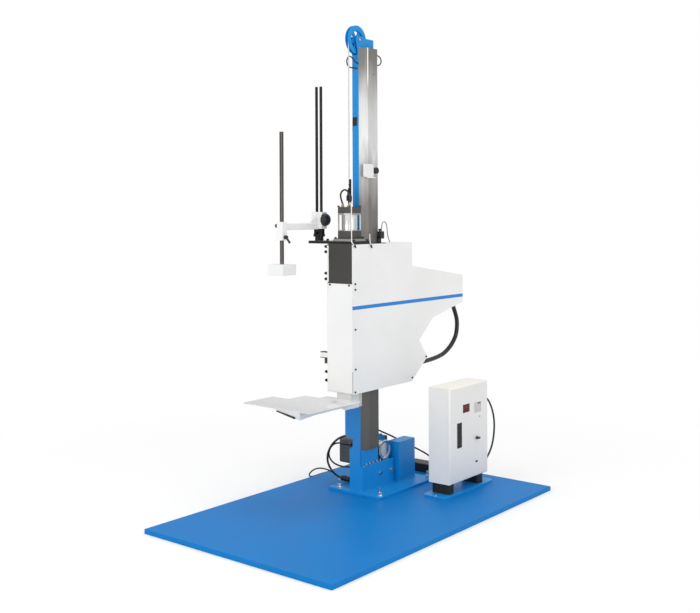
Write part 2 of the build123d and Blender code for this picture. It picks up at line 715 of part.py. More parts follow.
def make_release_cylinder():
    """Square caps, polished barrel, four tie rods and the flange that bolts it to the deck."""
    cap_x, cap_y = around(cylinder_x, cap_wide), around(cylinder_y, cap_deep)
    foot = plate_xz([
        (cap_x[0] - 20, deck_high), (cap_x[1] + 16, deck_high), (cap_x[1] + 16, cap_low), (cap_x[0] - 12, cap_low),
    ], (cap_y[0] - 10, cap_y[1] + 4))
    low_cap = block(cap_x, cap_y, (cap_low, cap_low + cap_tall))
    low_cap = chamfer(low_cap.edges().filter_by(Axis.Z), 5.0)
    high_cap = block(cap_x, cap_y, (cap_high - cap_tall, cap_high))
    high_cap = chamfer(high_cap.edges().filter_by(Axis.Z), 5.0)
    nut = Plane(origin=(cap_x[0], cylinder_y, cap_high - 18), z_dir=(-1, 0, 0)) * extrude(RegularPolygon(11, 6), 6)
    barrel = rod((cylinder_x, cylinder_y, cap_low + cap_tall), (cylinder_x, cylinder_y, cap_high - cap_tall), barrel_radius)
    body = foot + low_cap + high_cap + barrel + nut
    for x in (cap_x[0] + 5, cap_x[1] - 5):
        for y in (cap_y[0] + 5, cap_y[1] - 5):
            body += rod((x, y, cap_low + 8), (x, y, cap_high + 7), 3.5)
            body += Pos(x, y, cap_high) * extrude(RegularPolygon(6.5, 6), 5)
    bore = rod((cylinder_x, cylinder_y, cap_low + 30), (cylinder_x, cylinder_y, cap_high - 30), bore_radius)
    passage = rod((cylinder_x, cylinder_y, deck_high), (cylinder_x, cylinder_y, cap_low + 30), rod_radius + running)
    return body - bore - passage


def make_cylinder_rod():
    """Piston, rod and the hammer head that strikes the swing arm."""
    piston_z = (cap_high - 46, cap_high - 34)
    piston = rod((cylinder_x, cylinder_y, piston_z[0]), (cylinder_x, cylinder_y, piston_z[1]), bore_radius - running)
    shaft = rod((cylinder_x, cylinder_y, rod_low), (cylinder_x, cylinder_y, piston_z[0]), rod_radius)
    head = rod((cylinder_x, cylinder_y, rod_low), (cylinder_x, cylinder_y, rod_low + 16), 14.0)
    return piston + shaft + fillet(head.edges().filter_by(GeomType.CIRCLE), 2.0)


def make_rope_socket():
    """Stud, fork block and cone at the end of the lifting rope, and the two hose fittings beside them."""
    x, y = column_x, rope_front
    stud = rod((x, y, cap_high), (x, y, cap_high + 30), 6.0) + rod((x, y, cap_high), (x, y, cap_high + 6), 11.0)
    fork = fillet(block(around(x, 20), around(y, 20), (cap_high + 28, cap_high + 52)).edges().filter_by(Axis.Z), 3.0)
    cone = Pos(x, y, cap_high + 52) * Cone(10, 6, socket_top - cap_high - 52, align=(Align.CENTER, Align.CENTER, Align.MIN))
    fittings = []
    for fx in (cylinder_x - 26, cylinder_x + 16):
        place = (fx, cylinder_y - 16, cap_high)
        body = Pos(*place) * extrude(RegularPolygon(7.5, 6), 8)
        fittings.append(body + rod(place, (place[0], place[1], cap_high + 14), 5.6))
    return Compound(children=[stud + fork + cone] + fittings)


def make_air_hose():
    """Hose in an arch from the elbow on the upper cap to the fitting beside the rope."""
    y = cylinder_y - 16
    left, right = cylinder_x - 26, cylinder_x + 16
    points = [(left, y, cap_high + 14), (left - 14, y, cap_high + 42), (left - 12, y + 1, cap_high + 68),
              (left + 12, y + 2, cap_high + 82), (left + 34, y + 2, cap_high + 66), (right + 3, y + 1, cap_high + 42),
              (right, y, cap_high + 16)]
    return cord("air hose", points, 4.0)


def make_limit_switch():
    """Black switch on a bracket behind the column profile, with its roller on top."""
    x = (profile_face + 3, profile_face + 19)
    y = (switch_front, switch_front + switch_deep)
    z = (housing_top + 22, housing_top + 22 + switch_tall)
    foot_y = (y[0], y[1] - 2)
    bracket = block((x[0] + 1, x[0] + 4), foot_y, (housing_top, z[0] + 12))
    bracket += block((x[0] + 1, x[1] + 13), foot_y, (housing_top, housing_top + 3))
    body = fillet(block((x[0] + 4, x[1] + 4), y, z).edges().filter_by(Axis.X), 2.0)
    wheel_y, wheel_z = y[0] + 6, z[1] + 7
    wheel = rod((x[0] + 6, wheel_y, wheel_z), (x[1] + 1, wheel_y, wheel_z), 5.0)
    stem = block((x[0] + 8, x[0] + 12), around(wheel_y, 6), (z[1] - 2, wheel_z + 1))
    return bracket + body + wheel + stem


def make_sensor_cable():
    points = [(-88, 269, 1222), (-88, 269, 1246), (-88, 280, 1266), (-88, 300, 1266), (-88, 312, 1244),
              (-88, 314, 1214), (-88, 322, 1188), (-90, 336, housing_top + 4)]
    return cord("sensor cable", points, 2.5)


def make_stop_buffer():
    """Black rubber bar between the side plates, where the swing arm stops."""
    low, high = Vector(0, 556, 697), Vector(0, 598, 725)
    along = (high - low).normalized()
    across = Vector(0, -along.Z, along.Y)
    corners = [low, high, high + across * 9, low + across * 9]
    return plate_yz([(c.Y, c.Z) for c in corners], frame_inner)


def make_conduit():
    """Black corrugated hose from the wing to the lower back of the housing."""
    x = conduit_x
    points = [(x, conduit_top[0], conduit_top[1]), (x, 926, 795), (x, 945, 755), (x, 946, 712), (x, 935, 668),
              (x, 893, 626), (x, 836, 594), (x, 781, 580), (x, 699, 572), (x, 637, 570), (x, conduit_end[0] + 6, 568)]
    return cord("conduit", points, conduit_radius)


def make_swing_arm():
    """Two side plates about the pivot tube, cross plates, striker and the ribs under the table."""
    low = table_top_z - table_gauge
    right_outline = [
        (pivot_y, pivot_z + 40), (600, 938), (300, 902), (arm_front, 902), (arm_front, low), (table_front, low),
        (table_front, low - 33), (-208, low - 26), (-20, low - 24), (9, hanger_low), (hanger_back, hanger_low),
        (hanger_back, 560), (180, 650), (330, 735), (570, 782), (pivot_y, pivot_z - 40),
    ]
    left_outline = [
        (pivot_y, pivot_z + 40), (600, 938), (300, 902), (arm_front, 902), (arm_front, 690), (150, 690), (330, 735),
        (570, 782), (pivot_y, pivot_z - 40),
    ]
    arm = plate_yz(right_outline, arm_right_x) + plate_yz(left_outline, arm_left_x)
    for x in (arm_left_x, arm_right_x):
        arm += rod((x[0], pivot_y, pivot_z), (x[1], pivot_y, pivot_z), 40.0)
    arm += rod((arm_left_x[0] - 20, pivot_y, pivot_z), (arm_right_x[1] + 8, pivot_y, pivot_z), hub_radius)
    arm += block((arm_left_x[0], arm_right_x[1]), (arm_front, arm_front + arm_gauge), (hanger_low + 6, 902))
    arm += rod((arm_left_x[0], 420, 815), (arm_right_x[1], 420, 815), 20.0)
    striker_x = around(cylinder_x, 30)
    striker = plate_yz([(arm_front + 3, 840), (arm_front + 20, 840), (102, 884), (102, 902), (arm_front + 3, 902)], striker_x)
    left_rib = plate_yz([(table_front + 4, low), (arm_front, low), (arm_front, low - 31), (table_front + 4, low - 12)], arm_left_x)
    keel = plate_xz([(keel_left, low), (arm_right_x[0], low), (arm_right_x[0], low - 33)], (table_front, table_front + 4))
    arm += striker + left_rib + keel
    return arm - rod((arm_left_x[0] - 20, pivot_y, pivot_z), (arm_right_x[1] + 8, pivot_y, pivot_z), pivot_radius + running)


def make_table_top():
    """Thin polished leaf with stepped left and rear edges, bolted on the ribs."""
    points = [(table_right, table_front), (table_steps[0][0], table_front)]
    for (x, y), following in zip(table_steps, table_steps[1:] + ((table_right, 0),)):
        points += [(x, y), (following[0], y)]
    leaf = plate_xy(points, (table_top_z - table_gauge, table_top_z))
    leaf = fillet(leaf.edges().filter_by(Axis.Z), 3.0)
    return leaf


def make_table_buffers():
    """Strip behind the hanger that meets the column side, and the strip along the keel."""
    rear = block((arm_right_x[0] - 2, arm_right_x[1]), (hanger_back, hanger_back + 22), (hanger_low + 2, 560))
    low = table_top_z - table_gauge
    slope = 33 / (arm_right_x[0] - keel_left)
    x0, x1 = keel_left + 30, arm_right_x[0] - 20
    z0, z1 = low - slope * (x0 - keel_left), low - slope * (x1 - keel_left)
    strip = plate_xz([(x0, z0 + 1), (x1, z1 + 7), (x1, z1 - 1), (x0, z0 - 3)], (table_front - 5, table_front))
    return Compound(children=[rear, strip])


def mast_places():
    return [(mast_x + side * mast_spacing / 2, mast_y) for side in (-1, 1)]


def make_mast():
    """Two black rods on a turning foot with a star grip."""
    low = deck_high + gap
    foot = rod((mast_x, mast_y, low), (mast_x, mast_y, low + 18), 20.0)
    spigot = rod((mast_x, mast_y, deck_low + 1), (mast_x, mast_y, low), 12.0 - running)
    star = rod((mast_x, mast_y, low + 18), (mast_x, mast_y, low + 30), 27.0)
    for point in range(6):
        angle = 2 * pi * point / 6
        place = (mast_x + 29 * cos(angle), mast_y + 29 * sin(angle))
        star -= rod((*place, low + 18), (*place, low + 30), 6.5)
    saddle = block(around(mast_x, mast_spacing + 22), around(mast_y, 24), (low + 30, holder_low - 0.5))
    saddle -= rod((mast_x, mast_y - 12, low + 32), (mast_x, mast_y + 12, low + 32), 8.0)
    foot += spigot + star + fillet(saddle.edges().filter_by(Axis.Z), 4.0)
    rods = [rod((x, y, holder_low - 4), (x, y, mast_top), mast_rod) for x, y in mast_places()]
    return foot + rods[0] + rods[1]


def make_boom():
    """White arm: holder block on both rods, gusset, rectangular beam and the clamp at its end."""
    holder = block(around(mast_x, holder_wide), around(mast_y, holder_deep), (holder_low, holder_top))
    holder = fillet(holder.edges().filter_by(Axis.Z), 3.0)
    front = mast_y - holder_deep / 2
    beam_z = around(boom_z, boom_tall)
    end = pad_y + clamp_side / 2
    beam = block(around(mast_x, boom_wide), (end - 1, front + 1), beam_z)
    beam = fillet(beam.edges().filter_by(Axis.Y), 3.0)
    gusset = plate_yz([(front + 1, beam_z[1] - 1), (front + 1, holder_top - 4), (front - 46, beam_z[1] - 1)], around(mast_x, 8))
    clamp = block(around(mast_x, clamp_side), around(pad_y, clamp_side), (clamp_low, clamp_top))
    clamp = fillet(clamp.edges().filter_by(Axis.Z), 4.0)
    boom = holder + beam + gusset + clamp
    for x, y in mast_places():
        boom -= rod((x, y, holder_low), (x, y, holder_top), mast_rod + running)
    hole = bar_side + 2 * running
    boom -= block(around(mast_x, hole), around(pad_y, hole), (clamp_low, clamp_top))
    slit = mast_x - clamp_side / 2
    boom -= block((slit, mast_x - bar_side / 2), around(pad_y, 3), (clamp_low, clamp_top))
    hole_x = (mast_x + mast_spacing / 2 + mast_rod, mast_x + holder_wide / 2)
    boom -= rod((hole_x[0], mast_y, knob_z), (hole_x[1], mast_y, knob_z), 4.0 + running)
    lever_x = (mast_x + bar_side / 2, mast_x + clamp_side / 2)
    boom -= rod((lever_x[0], pad_y, lever_z), (lever_x[1], pad_y, lever_z), 4.0 + running)
    return boom


def make_boom_knob():
    """Black mushroom knob that clamps the holder on the rods."""
    y, z = mast_y, knob_z
    face = mast_x + holder_wide / 2 + gap
    dome = Pos(face, y, z) * Rot(0, 90, 0) * Cylinder(29, 24, align=(Align.CENTER, Align.CENTER, Align.MIN))
    dome = fillet(dome.edges().sort_by(Axis.X)[-1], 18.0)
    for notch in range(12):
        angle = 2 * pi * notch / 12
        place = (y + 31.5 * cos(angle), z + 31.5 * sin(angle))
        dome -= rod((face, *place), (face + 12, *place), 4.0)
    return dome + rod((mast_x + mast_spacing / 2 + mast_rod + 0.4, y, z), (face, y, z), 4.0)


def make_clamp_lever():
    """Small lever that clamps the bar of the pad."""
    face = mast_x + clamp_side / 2 + gap
    hub = rod((face, pad_y, lever_z), (face + 14, pad_y, lever_z), 8.0)
    grip = rod((face + 9, pad_y, lever_z), (face + 24, pad_y + 4, lever_z - 22), 4.5)
    tip = Pos(face + 24, pad_y + 4, lever_z - 22) * Sphere(5.5)
    return hub + grip + tip + rod((mast_x + bar_side / 2 + 0.4, pad_y, lever_z), (face, pad_y, lever_z), 4.0)


def make_pad_bar():
    """Square bar with a groove on two sides."""
    bar = block(around(mast_x, bar_side), around(pad_y, bar_side), (pad_low + pad_tall, bar_top))
    bar = chamfer(bar.edges().filter_by(Axis.Z), 1.0)
    z = (pad_low + pad_tall + 10, bar_top)
    bar -= block((mast_x + bar_side / 2 - 3, mast_x + bar_side / 2), around(pad_y, 5), z)
    return bar - block(around(mast_x, 5), (pad_y - bar_side / 2, pad_y - bar_side / 2 + 3), z)


def make_hold_pad():
    pad = block(around(mast_x, pad_side), around(pad_y, pad_side), (pad_low, pad_low + pad_tall))
    return fillet(pad.edges(), 3.0)


def make_limit_block():
    """White adjustable block clamped on the profile, with the dark cam plate under it and the ear for its knob."""
    x = (profile_face + gap, profile_face + gap + block_thick)
    body = block(x, (block_front, block_back), (block_low, block_top))
    body = fillet(body.edges().filter_by(Axis.X), 5.0)
    cam = block((x[0] + 2, x[1]), (block_back - 40, 234), (block_low - 4, block_low))
    ear = block((x[0], x[0] + 6.6), (block_back - 1, 250), (block_low + 14, block_low + 48))
    body += cam + ear
    y, z = limit_knob_place
    return body - rod((x[0] - 1, y, z), (x[0] + 8, y, z), 3.0 + running)


def make_limit_knob():
    """Low knob on the outer face of the ear."""
    y, z = limit_knob_place
    seat = profile_face + gap + 7.0
    knob = rod((seat, y, z), (seat + 13.2, y, z), 15.5)
    knob = fillet(knob.edges().sort_by(Axis.X)[-1], 5.0)
    return knob + rod((profile_face + gap + 0.4, y, z), (seat, y, z), 3.0)


def make_box_plate():
    middle = ((box_left + box_right) / 2, (box_front + box_back) / 2)
    half = ((box_right - box_left) / 2 + box_plate_margin, (box_back - box_front) / 2 + 50)
    x, y = (middle[0] - half[0], middle[0] + half[0]), (middle[1] - half[1], middle[1] + half[1])
    plate = fillet(block(x, y, (base_thick, box_plate_top)).edges().filter_by(Axis.Z), 28.0)
    for bx, by in box_plate_bolt_places():
        plate -= rod((bx, by, base_thick), (bx, by, box_plate_top), 5.0)
    return plate


def make_box_feet():
    """Two ribbed rubber feet across the box."""
    feet = []
    for y in ((box_front + 6, box_front + 56), (box_back - 70, box_back - 20)):
        foot = block((box_left + 10, box_right - 14), y, (box_plate_top, box_low))
        foot = fillet(foot.edges().filter_by(Axis.Z), 12.0)
        for rib in range(4):
            x = box_left + 26 + rib * 22
            foot -= rod((x, y[0] - 1, box_plate_top), (x, y[0] - 1, box_low), 3.0)
        feet.append(foot)
    return Compound(children=feet)


def make_box_body():
    body = block((box_left, box_right - lid_thick), (box_front, box_back), (box_low, box_top))
    body = fillet(body.edges().filter_by(Axis.Y), 3.0)
    inner = block((box_left + 3, box_right - lid_thick), (box_front + 3, box_back - 3), (box_low + 3, box_top - 3))
    body -= inner
    gland = Plane(origin=(box_left + 40, box_back, 436), z_dir=(0, 1, 0))
    body += gland * extrude(RegularPolygon(9, 6), 14)
    low = Plane(origin=(box_left + 40, box_back, 250), z_dir=(0, 1, 0))
    return body + low * extrude(RegularPolygon(9, 6), 14)


def make_box_lid():
    """Front panel with a bowed face, and the openings for its controls."""
    x = (box_right - lid_thick + 0.3, box_right)
    lid = block(x, (box_front, box_back), (box_low, box_top))
    lid = fillet(lid.edges().group_by(Axis.X)[-1], 8.0)
    lid -= block((x[1] - 6, x[1]), red_y, red_z)
    lid -= rocker_pin(1.2 + running)
    lid -= block((x[1] - 3, x[1]), keypad_y, keypad_z)
    lid -= block((x[1] - 4, x[1]), display_y, display_z)
    lid -= rod((x[1] - 12, *key_place), (x[1], *key_place), 7.0 + running)
    lid -= rod((x[1] - 4, *lamp_place), (x[1], *lamp_place), 3.0)
    lid -= block((x[1] - 6, x[1]), jack_y, jack_z)
    groove_y = (box_front + 185, box_front + 318)
    return lid - block((x[1] - 1, x[1]), groove_y, (91, 94))


def make_panel_inserts():
    """Display window, keypad, lamp and jack in their openings."""
    right = box_right
    window = block((right - 4, right - 1.5), display_y, display_z)
    for bar in range(5):
        z = display_z[0] + 12 + bar * 22
        window += block((right - 1.5, right - 1.0), (display_y[0] + 8, display_y[1] - 8), (z, z + 10))
    keypad = block((right - 3, right + 0.6), keypad_y, keypad_z)
    keypad -= block((right, right + 0.6), (keypad_y[1] - 24, keypad_y[1] - 4), (keypad_z[1] - 10, keypad_z[1] - 4))
    lamp = rod((right - 4, *lamp_place), (right + 1, *lamp_place), 3.0)
    jack = block((right - 6, right - 0.5), jack_y, jack_z)
    return Compound(children=[window, keypad, lamp, jack])


def rocker_pin(radius):
    """The pin that the rocker tips about."""
    x, z = box_right - 2, (red_z[0] + red_z[1]) / 2
    return rod((x, red_y[0] - 3, z), (x, red_y[1] + 3, z), radius)


def make_rocker_switch():
    """Red rocker that tips about its middle."""
    y = (red_y[0] + 1.5, red_y[1] - 1.5)
    middle = (red_z[0] + red_z[1]) / 2
    half = (red_z[1] - red_z[0]) / 2 - 1.5
    profile = [(-half, -3.0), (half, -3.0), (half, 2.8), (0, 0.8), (-half, 2.8)]
    face = make_face(Polyline(*[(box_right + x, y[0], middle + z) for z, x in profile], close=True))
    return extrude(face, y[1] - y[0], dir=(0, 1, 0)) + rocker_pin(1.2)


def make_selector_knob():
    y, z = key_place
    stem = rod((box_right - 11, y, z), (box_right + 3, y, z), 7.0)
    grip = Plane(origin=(box_right + 3, y, z), z_dir=(1, 0, 0)) * extrude(SlotOverall(24, 9, rotation=90), 12)
    return stem + fillet(grip.edges().sort_by(Axis.X)[-4:], 1.5)


def make_junction_box():
    """Low black wiring box on the base plate behind the foot."""
    body = block((-226, -20), (640, 712), (base_thick, 62))
    body = fillet(body.edges().group_by(Axis.Z)[-1] + body.edges().filter_by(Axis.Z), 4.0)
    return body


def make_post_cable():
    """Thick cable that leaves the web of the wide post and loops down to the connector."""
    points = [(-188, 206, wide_post_low), (-208, 206, 269), (-252, 206, 261), (-302, 207, 240), (-345, 208, 204),
              (-372, 209, 158), (-373, 210, 112), (-350, 215, 76), (-330, 226, 54),
              (connector_x[0], connector_y - 5.2, connector_z + 1)]
    return cord("post cable", points, 5.0)


def make_motor_cable():
    """Cable of the winch motor: out of the gland, round to the left and back behind the post."""
    gland = gland_place()
    points = [gland, (-280, 224, 211), (-312, 222, 215), (-348, 223, 203), (-374, 224, 172), (-378, 225, 138),
              (-352, 226, 112), (-306, 226, 102), (-256, 227, 106), (-214, 228, 116), (foot_x[0], 228, 120)]
    return cord("motor cable", points, 4.0)


def make_connector():
    """In-line plug on the base plate, where the post cable and the supply cable meet."""
    x0, x1 = connector_x
    body = rod((x0, connector_y, connector_z), (x1, connector_y, connector_z), 11.0)
    for x in (x0 + 8, x0 + 24, x1 - 10):
        body += rod((x, connector_y, connector_z), (x + 5, connector_y, connector_z), 13.0)
    return body


def make_supply_cable():
    """Thin mains cable from the connector, over the left edge of the base plate to the coil on the floor."""
    points = [(connector_x[0], connector_y + 5.2, connector_z - 1), (-326, 246, 43), (-354, 256, 48), (-392, 262, 57),
              (-430, 264, 63), (-470, 262, 62), (-504, 256, 49), (-526, 250, 26), (-532, 262, 8), (-533, 296, 4.5),
              (-537, 350, 4.5), (-533, 405, 4.5), (-537, 460, 4.5), (-533, 515, 4.5), (-537, 570, 4.5),
              (-533, 625, 4.5), (-537, 680, 4.5), (-534, 735, 4.5), (-530, 786, 4.5), (-514, 832, 4.5),
              (-494, 868, 4.5), (coil_place[0] - coil_ring, coil_place[1], 4.5)]
    return cord("supply cable", points, 4.0)


def make_supply_coil():
    """The outer shape of the coiled spare length, and the mains plug that lies on it."""
    x, y = coil_place
    coil = ring((x, y, 0.5), (x, y, coil_thick), coil_ring + 8, coil_ring - 8)
    plug = block((x - 26, x + 16), (y - 40, y - 8), (coil_thick + 0.2, coil_thick + 24))
    plug = fillet(plug.edges(), 4.0)
    for dy in (-6, 6):
        plug += rod((x + 16, y - 24 + dy, coil_thick + 12), (x + 34, y - 24 + dy, coil_thick + 12), 2.2)
    return Compound(children=[coil, plug])


def make_column_cable():
    """Cable from the back of the column, over the winch cover, down behind it into the wiring box."""
    points = [(column_x, tube_y[1], 300), (-148, 296, 291), (-153, 345, 269), (-156, 400, 246), (-156, 455, 221),
              (-155, 515, 190), (-140, 564, 164), (-118, 610, 137), (-100, 652, 110), (-92, 678, 86), (-91, 684, 62)]
    return cord("column cable", points, 4.0)


def make_controller_cable():
    """Cable from the upper gland of the control box, down behind it to the wiring box."""
    x = box_left + 40
    points = [(x, box_back + 14, 436), (x + 8, box_back + 50, 430), (x + 28, box_back + 84, 404),
              (x + 44, box_back + 100, 350), (x + 52, box_back + 104, 290), (x + 50, box_back + 102, 226),
              (x + 42, box_back + 94, 168), (x + 22, box_back + 80, 112), (x - 12, box_back + 58, 68),
              (x - 58, box_back + 36, 44), (x - 112, box_back + 22, 38), (-20, 686, 38)]
    return cord("controller cable", points, 4.5)


def make_head_cable():
    """Black cable at the head: a ring in front of the tube, and an arc between two holes of the profile."""
    x, y = column_x, tube_y[0]
    points = [(x + 16, y, 1992), (x + 16, y - 16, 1994), (x + 8, y - 24, 2010), (x - 8, y - 26, 2028), (x - 26, y - 26, 2020),
              (x - 30, y - 26, 1998), (x - 20, y - 24, 1978), (x - 2, y - 16, 1972), (x + 10, y, 1972)]
    front = cord("head cable in front", points, 3.0)
    x, y = profile_x[0] + 11, tube_y[1]
    low, high = head_cable_heights()
    points = [(x, y - 2, high), (x, y + 26, high - 2), (x, y + 44, high - 16), (x, y + 44, low + 16), (x, y + 26, low + 2),
              (x, y - 2, low)]
    return Compound(children=[front, cord("head cable behind", points, 3.0)])


pieces = {
    "base_plate": make_base_plate,
    "foot_weldment": make_foot_weldment,
    "column_tube": make_column_tube,
    "guide_profile": make_guide_profile,
    "head_bracket": make_head_bracket,
    "head_sheave": make_head_sheave,
    "return_pulley": make_return_pulley,
    "winch_drum": make_winch_drum,
    "winch_gearbox": make_winch_gearbox,
    "winch_motor": make_winch_motor,
    "winch_cover": make_winch_cover,
    "frame_fasteners": make_frame_fasteners,
    "rope_rear": make_rope_rear,
    "rope_front": make_rope_front,
    "carriage_frame": make_carriage_frame,
    "deck_plate": make_deck,
    "right_cover": lambda: make_side_cover(True),
    "left_cover": lambda: make_side_cover(False),
    "front_cover": make_front_cover,
    "rear_cover": make_rear_cover,
    "carriage_fasteners": make_carriage_fasteners,
    "roller_front_lower": lambda: make_roller(front_roller_y, front_roller_heights[0]),
    "roller_front_upper": lambda: make_roller(front_roller_y, front_roller_heights[1]),
    "roller_rear_lower": lambda: make_roller(rear_roller_y, rear_roller_heights[0]),
    "roller_rear_upper": lambda: make_roller(rear_roller_y, rear_roller_heights[1]),
    "release_cylinder": make_release_cylinder,
    "cylinder_rod": make_cylinder_rod,
    "rope_socket": make_rope_socket,
    "air_hose": make_air_hose,
    "limit_switch": make_limit_switch,
    "sensor_cable": make_sensor_cable,
    "stop_buffer": make_stop_buffer,
    "conduit": make_conduit,
    "swing_arm": make_swing_arm,
    "table_top": make_table_top,
    "table_buffers": make_table_buffers,
    "mast": make_mast,
    "boom": make_boom,
    "boom_knob": make_boom_knob,
    "clamp_lever": make_clamp_lever,
    "pad_bar": make_pad_bar,
    "hold_pad": make_hold_pad,
    "limit_block": make_limit_block,
    "limit_knob": make_limit_knob,
    "box_plate": make_box_plate,
    "box_feet": make_box_feet,
    "box_body": make_box_body,
    "box_lid": make_box_lid,
    "panel_inserts": make_panel_inserts,
    "rocker_switch": make_rocker_switch,
    "selector_knob": make_selector_knob,
    "junction_box": make_junction_box,
    "post_cable": make_post_cable,
    "motor_cable": make_motor_cable,
    "cable_connector": make_connector,
    "supply_cable": make_supply_cable,
    "supply_coil": make_supply_coil,
    "column_cable": make_column_cable,
    "controller_cable": make_controller_cable,
    "head_cable": make_head_cable,
}

if __name__ == "__main__":
    os.makedirs("parts", exist_ok=True)
    for name, make in pieces.items():
        export_step(make(), f"parts/{name}.step")
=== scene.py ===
# Package drop tester: finishes, cords, small details, floor and light round the frame's solids
from math import cos, pi, radians, sin

import bmesh
import bpy
from mathutils import Matrix, Vector


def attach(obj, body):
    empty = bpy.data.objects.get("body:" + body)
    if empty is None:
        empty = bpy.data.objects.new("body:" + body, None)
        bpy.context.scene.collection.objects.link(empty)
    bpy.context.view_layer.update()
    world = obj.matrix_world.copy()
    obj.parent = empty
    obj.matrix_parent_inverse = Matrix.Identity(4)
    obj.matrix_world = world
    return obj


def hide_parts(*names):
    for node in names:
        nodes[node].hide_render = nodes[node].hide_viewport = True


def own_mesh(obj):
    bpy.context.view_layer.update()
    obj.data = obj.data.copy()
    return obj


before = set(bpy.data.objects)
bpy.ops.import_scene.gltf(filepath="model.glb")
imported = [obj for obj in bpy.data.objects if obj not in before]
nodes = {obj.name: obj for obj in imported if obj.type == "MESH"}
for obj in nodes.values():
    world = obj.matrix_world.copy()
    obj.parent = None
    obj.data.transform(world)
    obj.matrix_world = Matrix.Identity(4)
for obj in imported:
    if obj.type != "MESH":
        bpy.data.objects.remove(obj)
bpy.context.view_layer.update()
scene = bpy.context.scene
mm = 0.001

# Camera: where the photograph was taken from
photo_wide, photo_tall = 700, 613
focal_pixels = 1010.654
optical_row = 215.669
sensor_wide = 36
camera_place = Vector((2.753126, -3.479353, 1.314713))
camera_turn = 38.94
camera_drop = 0.239
camera_roll = -0.238
lens = bpy.data.cameras.new("studio_camera")
lens.sensor_width = sensor_wide
lens.lens = sensor_wide * focal_pixels / photo_wide
lens.shift_y = (optical_row - photo_tall / 2) / photo_wide
lens.clip_end = 60
eye = bpy.data.objects.new("studio_camera", lens)
scene.collection.objects.link(eye)
eye.matrix_world = (Matrix.Translation(camera_place)
                    @ Matrix.Rotation(radians(camera_turn), 4, "Z")
                    @ Matrix.Rotation(radians(90 - camera_drop), 4, "X")
                    @ Matrix.Rotation(radians(camera_roll), 4, "Z"))
scene.camera = eye


# Materials

def linear(red, green, blue):
    """A screen colour, 0 to 255, as the linear colour that a shader takes."""
    def channel(value):
        value /= 255
        return value / 12.92 if value <= 0.04045 else ((value + 0.055) / 1.055) ** 2.4
    return (channel(red), channel(green), channel(blue), 1.0)


class Level:
    """A number that changes over a surface, with the usual arithmetic."""

    def __init__(self, finish, socket):
        self.finish, self.socket = finish, socket

    def math(self, operation, *others):
        made = self.finish.node("Math", {"operation": operation}, dict(enumerate((self, *others))))
        return Level(self.finish, made.outputs[0])

    def __add__(self, other):
        return self.math("ADD", other)

    def __mul__(self, other):
        return self.math("MULTIPLY", other)

    def __sub__(self, other):
        return self.math("SUBTRACT", other)

    def __rsub__(self, other):
        return (self * -1.0) + other

    def within(self, low, high, soft):
        """1 between low and high, falling to 0 over a soft edge outside."""
        return self.step(low - soft, low) * (1.0 - self.step(high, high + soft))

    def step(self, low, high):
        """0 below low, 1 above high, with a straight rise between them."""
        values = {"Value": self, "From Min": low, "From Max": high}
        return Level(self.finish, self.finish.node("MapRange", {"clamp": True}, values).outputs[0])


class Finish:
    """A material with one main shader; constants are named for its sockets."""

    def __init__(self, name, **constants):
        self.name = name
        self.material = bpy.data.materials.new(name)
        self.material.use_nodes = True
        self.tree = self.material.node_tree
        self.shader = self.tree.nodes["Principled BSDF"]
        for socket, value in constants.items():
            self.shader.inputs[socket.replace("_", " ")].default_value = value
        self.place = self.node("TexCoord").outputs["Object"]
        split = self.node("SeparateXYZ", {}, {0: self.place})
        self.x, self.y, self.z = (Level(self, split.outputs[axis]) for axis in range(3))
        facing = self.node("SeparateXYZ", {}, {0: self.node("NewGeometry").outputs["Normal"]})
        self.facing_x, self.facing_z = (Level(self, facing.outputs[axis]) for axis in (0, 2))

    def node(self, kind, settings=None, values=None):
        """A new shader node, with its settings and the values or links of its inputs."""
        made = self.tree.nodes.new("ShaderNode" + kind)
        for setting, value in (settings or {}).items():
            setattr(made, setting, value)
        for socket, value in (values or {}).items():
            self.put(made.inputs[socket], value)
        return made

    def put(self, socket, value):
        """Links a level or an output to an input, or sets a plain value on it."""
        if isinstance(value, Level):
            value = value.socket
        if isinstance(value, bpy.types.NodeSocket):
            self.tree.links.new(value, socket)
        else:
            socket.default_value = value

    def stretched(self, x, y, z):
        """Object coordinates scaled along each axis."""
        return self.node("Mapping", {}, {"Vector": self.place, "Scale": (x, y, z)}).outputs[0]

    def noise(self, scale, detail=3.0, roughness=0.55, where=None):
        values = {"Vector": where or self.place, "Scale": scale, "Detail": detail, "Roughness": roughness}
        return Level(self, self.node("TexNoise", {}, values).outputs[0])

    def mix(self, share, first, second):
        """A colour between two, by a level."""
        made = self.node("Mix", {"data_type": "RGBA"})
        self.put(made.inputs[0], share)
        self.put(made.inputs[6], first)
        self.put(made.inputs[7], second)
        return made.outputs[2]

    def ramp(self, level, stops):
        """A colour that follows a level through (level, colour) stops."""
        made = self.node("ValToRGB", {}, {0: level})
        ends = made.color_ramp.elements
        while len(ends) < len(stops):
            ends.new(0.5)
        for end, (place, colour) in zip(ends, stops):
            end.position, end.color = place, colour
        return made.outputs[0]

    def colour(self, value):
        self.put(self.shader.inputs["Base Color"], value)

    def rough(self, value):
        self.put(self.shader.inputs["Roughness"], value)

    def relief(self, height, strength, distance):
        """Surface bumps from a level, up to distance metres deep."""
        bump = self.node("Bump", {}, {"Height": height, "Strength": strength, "Distance": distance})
        self.put(self.shader.inputs["Normal"], bump.outputs[0])


def darker(colour, share):
    return tuple(channel * share for channel in colour[:3]) + (1.0,)


def blend_of(first, second, share):
    return tuple(a + (b - a) * share for a, b in zip(first, second))


worn_grey = (0.5, 0.5, 0.5, 1.0)
dust_grey = (0.55, 0.54, 0.52, 1.0)


